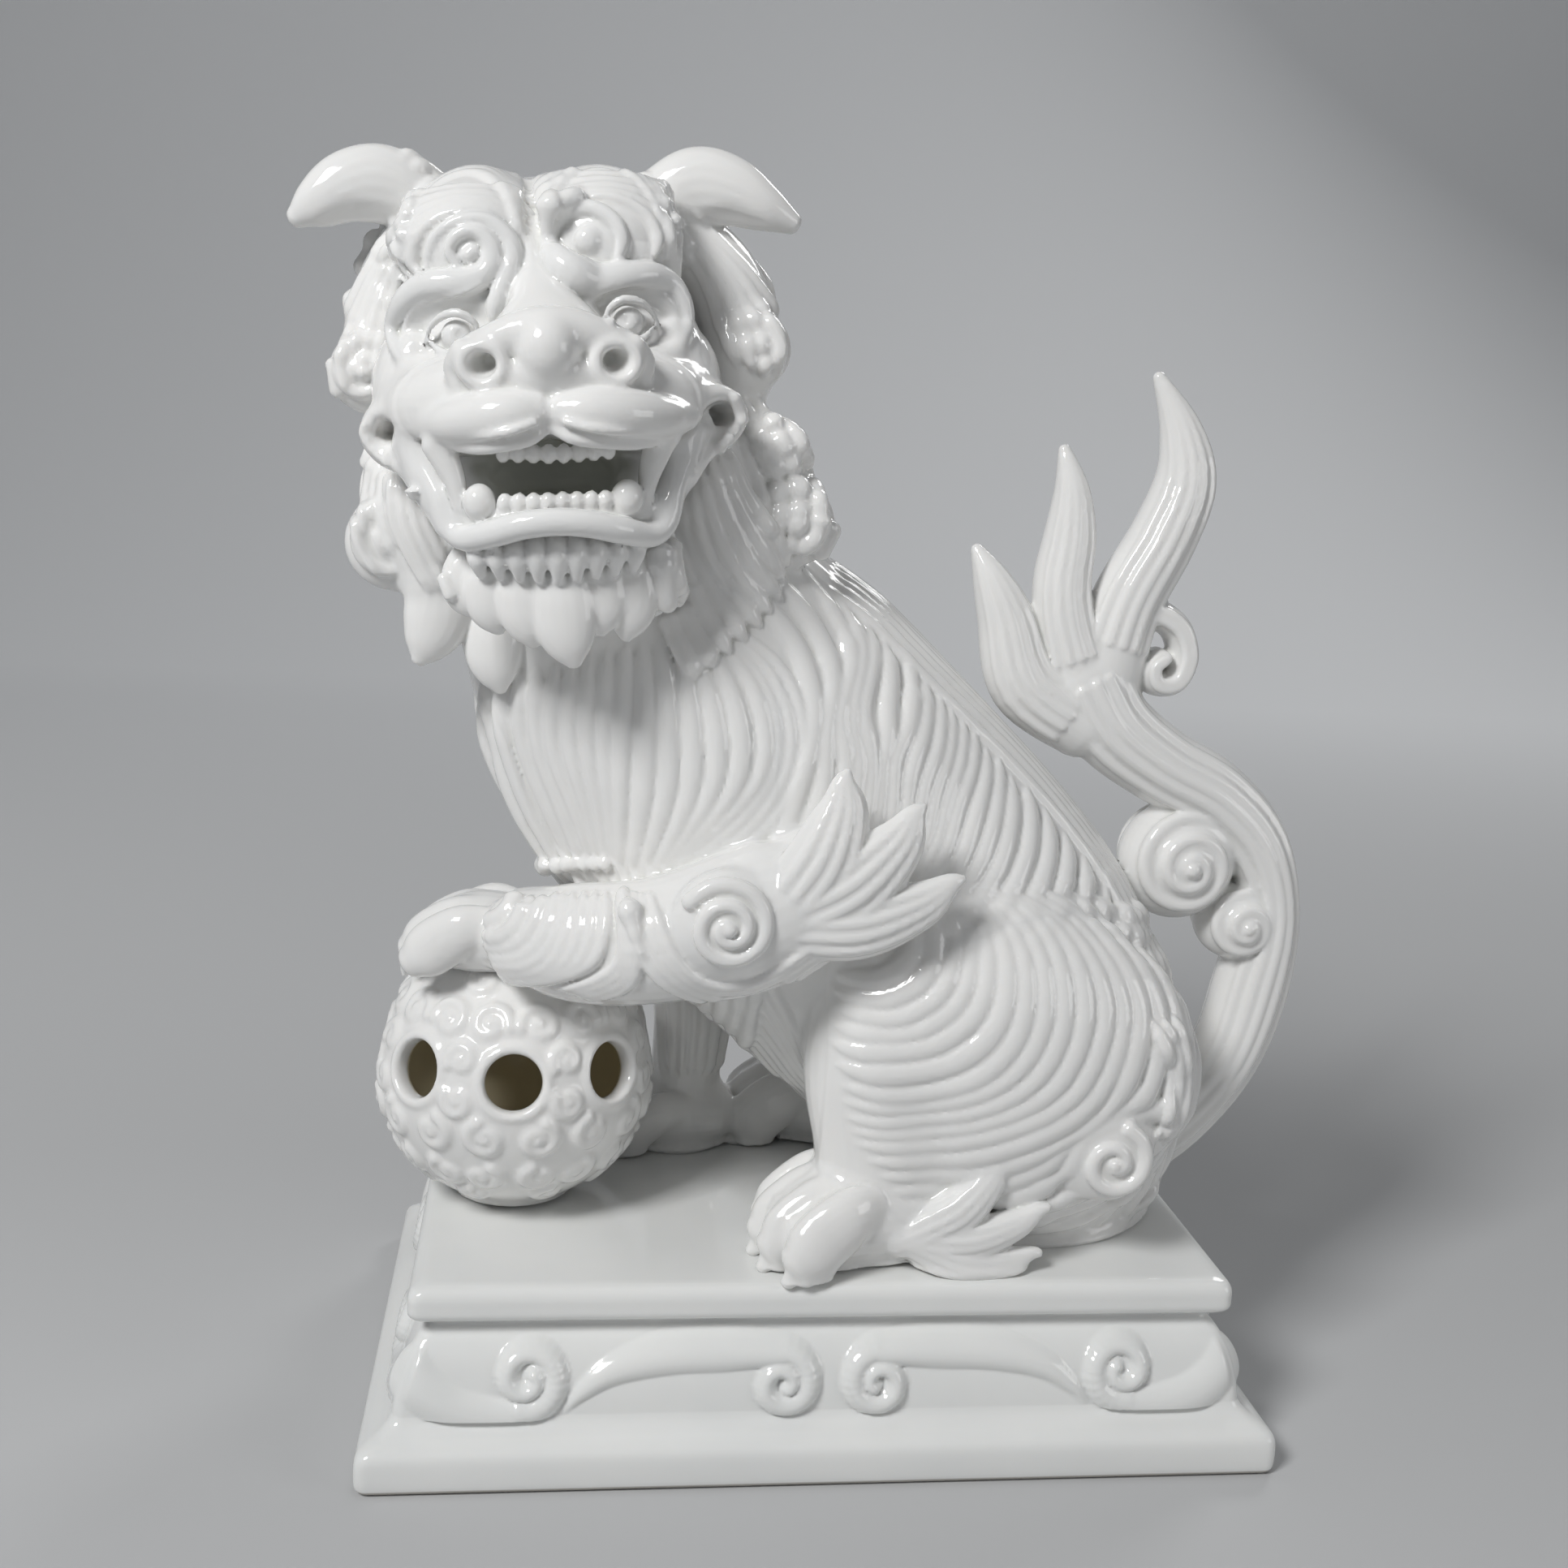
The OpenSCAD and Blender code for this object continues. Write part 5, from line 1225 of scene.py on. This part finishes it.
def on_ball(lon, lat, away=0.0):
    """Points of the ball's surface. lon runs to the right of the front, both in degrees."""
    lon, lat = np.radians(lon), np.radians(lat)
    out = np.stack([np.sin(lon) * np.cos(lat), -np.cos(lon) * np.cos(lat), np.sin(lat) + 0 * lon], axis=-1)
    return BALL + out * (BALL_R + away), out


def scroll(lon, lat, radius, turns, start, hand, stock=0.95):
    """A small spiral roll that lies on the ball, and the bulb in its middle."""
    t = np.linspace(0, 1, round(14 * turns))
    a = np.radians(start + hand * 360 * turns * t)
    r = np.degrees((radius - stock) * (1 - 0.8 * t) / BALL_R)
    at, out = on_ball(lon + r * np.cos(a) / math.cos(math.radians(lat)), lat + r * np.sin(a), -0.1)
    size = stock * (1 - 0.25 * t)
    rows = smooth_path(np.column_stack([at, size, size * 1.1, out]), 2)
    middle, _ = on_ball(lon, lat, -0.2)
    return [swept(rows[:, :5], rows[:, 5:8], 12, 0.8, 2),
        egg(middle, [stock * 1.15] * 3, rings=9, around=14)]


relief = []
for k in range(HOLES):
    lon = HOLE_STEP * k
    between = lon + HOLE_STEP / 2
    for hand in (-1, 1):
        relief += scroll(lon + hand * 12, 35, 5.0, 1.25, 90 + hand * 100, -hand, 1.15)
        relief += scroll(lon + hand * 10.6, -11.6, 4.8, 1.25, 90 - hand * 20, -hand, 1.15)
        relief += scroll(between + hand * 9, -32, 4.6, 1.2, 90 - hand * 30, -hand, 1.15)
    relief += scroll(between, 20, 4.0, 1.25, 210, -1, 1.1)
    relief += scroll(between, 3.4, 4.0, 1.25, 150, 1, 1.1)
    relief += scroll(between, -48, 3.8, 1.2, 90, 1)
    relief += scroll(between, 54, 4.2, 1.25, 90, 1)
ball.add(together(relief), "ball", 1.0)
for k in range(HOLES):
    turn = np.linspace(0, 2 * math.pi, 33)
    at, out = on_ball(HOLE_STEP * k + HOLE_RING * np.cos(turn), HOLE_LAT + HOLE_RING * np.sin(turn), -0.5)
    ball.add(swept(np.column_stack([at, np.full((33, 2), 1.0)]), out, 12, 0.4, 1), "ball", 1.2)
ball.cut(egg(BALL, [BALL_R - BALL_WALL] * 3, rings=61, around=110), 0.5)
for k in range(HOLES):
    (far, near), _ = on_ball(np.full(2, HOLE_STEP * k), np.full(2, HOLE_LAT), np.array([[8.0], [-9.0]]))
    drill = np.array([[*at, HOLE_R, HOLE_R] for at in (far, (far + near) / 2, near)])
    ball.cut(swept(drill, (0, 0, 1), 40, 0.2, 1), 1.5)
seat_on_slab(ball)


# ---- The plinth: mouldings that mitre at the corners, and a frieze of scrolls ----

LONG, DEEP = 170.0, 104.0
CORNER_R = 2.2
FRIEZE_LOW, FRIEZE_HIGH, FRIEZE_BACK = 11.5, 26.5, 12
# How many points run along a long side, along a short side and round a corner
PLINTH_POINTS = ((244, 144, 4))
# The plinth's outer profile, as [set back, height], from its foot to the edge of its top
profile = np.vstack([
    smooth_path([[1.6, 0.0], [0.5, 0.5], [0.0, 1.8], [0.0, 5.6], [0.5, 7.4],
        [1.9, 8.6], [3.8, 9.6], [5.2, 10.8], [5.9, 12.0]], 4)[:-1],
    smooth_path([[5.9, 12.0], [6.3, 15.2], [7.0, 18.6], [8.1, 21.8],
        [9.6, 24.4], [11.0, 26.0]], 10)[:-1],
    smooth_path([[11.0, 26.0], [11.6, 26.9], [11.2, 27.9], [9.4, 28.5], [8.3, 29.6],
        [8.2, 31.4], [8.3, 33.2], [9.1, 34.5], [10.6, 35.0]], 4),
    [[12, 35.0], [14, 35.0]]])
# The hollow under it, from its roof down to the foot
inside = np.array([[24, 29.6], [20, 29.6], [18, 28.6], [16.4, 26], [16.2, 12], [15.8, 3], [15.2, 0.8],
    [13.8, 0.0]])


def winding(middle, radius, turns, start, hand, thick, high, thin):
    """A spiral stem on the frieze, as rows of [run, height, half width, relief]."""
    t = np.linspace(0, 1, round(26 * turns))
    a = np.radians(start + hand * 360 * turns * t)
    half = thick * (1 - (1 - thin) * t)
    r = (radius - thick) * (1 - 0.76 * t)
    return np.column_stack([middle[0] + r * np.cos(a), middle[1] + r * np.sin(a), half, high + 0 * t])


def frieze_stems(half, arched):
    """The stems of one half of a frieze. Its middle is at run 0, and its corner at run = half."""
    x = half - 19.7
    first = smooth_path([[half + 0.6, 22.4, 2.4, 0.9], [half - 1.2, 17.6, 3.9, 1.6],
        [half - 6, 13.8, 4.2, 1.9], [half - 12, 12.4, 3.6, 1.9], [x + 2.4, 12.3, 2.9, 1.9]], 10)
    stems = [first, winding((x, 18.9), 8.9, 1.35, -80, -1, 2.7, 2.0, 0.62)]
    if arched:
        second = smooth_path([[48.6, 12.4, 0.4, 0.2], [45.8, 15.8, 1.5, 0.9], [40, 19.8, 2.7, 1.4],
            [30, 22.4, 3.7, 1.7], [20, 23, 3.9, 1.8], [13.4, 22.8, 3.2, 1.9], [9, 22.6, 2.8, 1.9]], 10)
        stems += [second, winding((8.9, 17.2), 8.2, 1.35, 95, 1, 2.6, 2.0, 0.62)]
    return np.vstack(stems)


def relief_of(stems, run, height):
    """How far the stems stand out of the frieze along one row, at one height."""
    run = np.abs(run)
    out = np.zeros(len(run))
    for x, z, half, high in stems:
        near = np.flatnonzero((np.abs(run - x) < half + 1) & (abs(height - z) < half + 1))
        d = np.hypot(run[near] - x, height - z) / half
        out[near] = np.maximum(out[near], high * np.clip(1 - d ** 2, 0, 1) ** 0.9)
    return out


def plinth_mesh():
    """The profile and the hollow run round the four sides. The top and the hollow's roof are lids."""
    long_count, short_count, corner_count = PLINTH_POINTS
    long_side = (LONG / 2, DEEP / 2, long_count, long_stems)
    short_side = (DEEP / 2, LONG / 2, short_count, short_stems)
    corner = np.radians(np.linspace(-90, 0, corner_count + 2)[1:-1])
    table = np.vstack([profile, inside])
    rings = []
    for back, z in table:
        ring = []
        for k, (half, away, count, stems) in enumerate((long_side, short_side) * 2):
            length = half - back - CORNER_R
            x = np.linspace(-1, 1, count) * length
            y = np.full(count, back - away)
            if FRIEZE_LOW <= z <= FRIEZE_HIGH and back < FRIEZE_BACK:
                y = y - relief_of(stems, x, z)
            x = np.concatenate([x, length + CORNER_R * np.cos(corner)])
            y = np.concatenate([y, back - away + CORNER_R * (1 + np.sin(corner))])
            c, d = math.cos(k * math.pi / 2), math.sin(k * math.pi / 2)
            ring.append(np.column_stack([x * c - y * d, x * d + y * c, np.full(len(x), z)]))
        rings.append(np.vstack(ring))
    n, m = len(table), len(rings[0])
    top = len(profile) - 1
    i, j = np.meshgrid(np.delete(np.arange(n), top), np.arange(m), indexing="ij")
    up, on = (i + 1) % n, (j + 1) % m
    quads = np.stack([i * m + j, i * m + on, up * m + on, up * m + j], axis=-1).reshape(-1, 4)
    lids = np.stack([top * m + np.arange(m), (top + 1) * m + np.arange(m)[::-1]])
    return np.vstack(rings), quads, lids


long_stems = frieze_stems(LONG / 2 - 10, True)
short_stems = frieze_stems(DEEP / 2 - 10, False)
plinth_points, plinth_quads, plinth_lids = plinth_mesh()
# the bare rim of the foot
foot = np.clip((1.3 - plinth_points[:, 2]) / 0.7, 0, 1)
plinth = make_mesh("plinth_glazed", plinth_points, [plinth_quads, plinth_lids], {"hollow": foot}, None)
plinth.data.materials.append(plinth_glaze)
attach(plinth, "root")
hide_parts("plinth", "frieze_scrolls")


# ---- The ball's piece and the figure's pieces ----

points, quads, owner, normals, hollow = finish_skin(ball)
# painted shade: the ball's inside takes the darker second colour
depth_in_ball = (BALL_R - 2.2 - np.linalg.norm(points - BALL, axis=1)) / 1.2
hollow = np.maximum(hollow * 0.4, np.clip(depth_in_ball, 0, 1))
for node, thing in share_out(points, quads, owner, ball.nodes, {"hollow": hollow}, normals).items():
    thing.name = node + "_glazed"
    thing.data.materials.append(ball_glaze)
    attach(thing, "root")
    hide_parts(node)

points, quads, owner, normals, hollow = finish_skin(figure)
# painted shade: the colour is darker in the depth of the mouth
throat, throat_size = head_rows([[0.4, -24, -18]])[0], [15, 9.4, 6.2]
from_throat = np.linalg.norm((points - throat) / throat_size, axis=1)
hollow = np.maximum(hollow, np.clip(3 - 2.4 * from_throat, 0, 0.55))
# the torso's skin is shared out in four pieces
quarters = ["torso_fore_left", "torso_fore_right", "torso_rear_left", "torso_rear_right"]
middle = points[quads].mean(axis=1)
quarter = (middle[:, 1] > 0) + 2 * (middle[:, 0] > -14)
owner = np.where(owner == figure.nodes.index("torso"), len(figure.nodes) + quarter, owner)
glazed = share_out(points, quads, owner, figure.nodes + quarters, {"hollow": hollow}, normals,
                   sunk={"head": ("lower_jaw", "teeth")}, shells=("lower_jaw", "brows", "eyes"),
                   hearts={"head": head_rows([[0, 13, -4]])[0]})
for name, thing in glazed.items():
    thing.name = name + "_glazed"
    thing.data.materials.append(white_glaze)
    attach(thing, "root")
    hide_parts("torso" if name in quarters else name)
# a solid of the frame that is still shown gets the same glaze
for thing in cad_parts.values():
    if not thing.hide_render:
        thing.data.materials.clear()
        thing.data.materials.append(white_glaze)


# ---- Floor, light and camera ----

FLOOR_FRONT, FLOOR_BACK, WALL_TOP, HALF_WIDE, SWEEP_R = -3.0, 0.9, 3.0, 3.5, 0.8
sweep = [(FLOOR_FRONT, 0.0), (FLOOR_BACK, 0.0)]
for a in np.linspace(0.08, math.pi / 2, 20):
    sweep.append((FLOOR_BACK + SWEEP_R * math.sin(a), SWEEP_R - SWEEP_R * math.cos(a)))
sweep.append((FLOOR_BACK + SWEEP_R, WALL_TOP))
stage_points = [(x / MM, y / MM, z / MM) for y, z in sweep for x in (-HALF_WIDE, HALF_WIDE)]
stage_quads = np.array([[2 * k, 2 * k + 1, 2 * k + 3, 2 * k + 2] for k in range(len(sweep) - 1)])
floor = make_mesh("floor", np.array(stage_points), [stage_quads], {}, None)
floor_paint = bpy.data.materials.new("floor")
floor_paint.use_nodes = True
floor_tree = floor_paint.node_tree
floor_shader = floor_tree.nodes["Principled BSDF"]
floor_shader.inputs["Roughness"].default_value = 0.9
floor_shader.inputs["Specular IOR Level"].default_value = 0.2
# darker under the statue, lighter towards the wall
floor_place = wire(floor_tree, "ShaderNodeTexCoord").outputs["Object"]
floor_axes = wire(floor_tree, "ShaderNodeSeparateXYZ", [("Vector", floor_place)])
floor_tone = shade(floor_tree, floor_axes.outputs["Y"], (0.1, (0.52, 0.525, 0.53)),
    (1.0, (0.93, 0.94, 0.95)))
floor_tree.links.new(floor_tone, floor_shader.inputs["Base Color"])
floor.data.materials.append(floor_paint)
floor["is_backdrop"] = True

world = bpy.data.worlds.new("studio")
world.use_nodes = True
world.node_tree.nodes["Background"].inputs["Color"].default_value = (0.9, 0.92, 0.95, 1)
world.node_tree.nodes["Background"].inputs["Strength"].default_value = 0.15
bpy.context.scene.world = world


def lamp(name, place, aim, size, watts):
    """A square lamp that looks from its place at its aim."""
    data = bpy.data.lights.new(name, "AREA")
    data.size = size
    data.energy = watts
    thing = bpy.data.objects.new(name, data)
    bpy.context.scene.collection.objects.link(thing)
    thing.location = place
    thing.rotation_euler = (Vector(aim) - Vector(place)).to_track_quat("-Z", "Y").to_euler()


lamp("key", (-0.55, -0.55, 0.75), (0, 0, 0.12), 0.26, 7.4)
lamp("fill", (0.8, -0.5, 0.3), (0, 0, 0.1), 0.4, 1.2)
lamp("rim", (0.9, 1.1, 1.2), (0, 0, 0.12), 0.5, 5)

camera_data = bpy.data.cameras.new("camera")
camera = bpy.data.objects.new("camera", camera_data)
bpy.context.scene.collection.objects.link(camera)
bpy.context.scene.camera = camera
camera_data.sensor_width = 36
camera_data.lens = 38.75
camera_data.clip_start = 0.01
YAW, PITCH, ROLL = math.radians(7.81), math.radians(10.6), math.radians(3.21)
CAMERA_AT = (-0.0533, -0.3253, 0.1814)
ahead = np.array([math.sin(YAW) * math.cos(PITCH), math.cos(YAW) * math.cos(PITCH), -math.sin(PITCH)])
level = np.array([math.cos(YAW), -math.sin(YAW), 0])
upright = np.cross(level, ahead)
right = math.cos(ROLL) * level + math.sin(ROLL) * upright
up = math.cos(ROLL) * upright - math.sin(ROLL) * level
camera.matrix_world = Matrix([*([right[k], up[k], -ahead[k], CAMERA_AT[k]] for k in range(3)),
    [0, 0, 0, 1]])

bpy.context.scene.view_settings.view_transform = "Standard"

low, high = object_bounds()
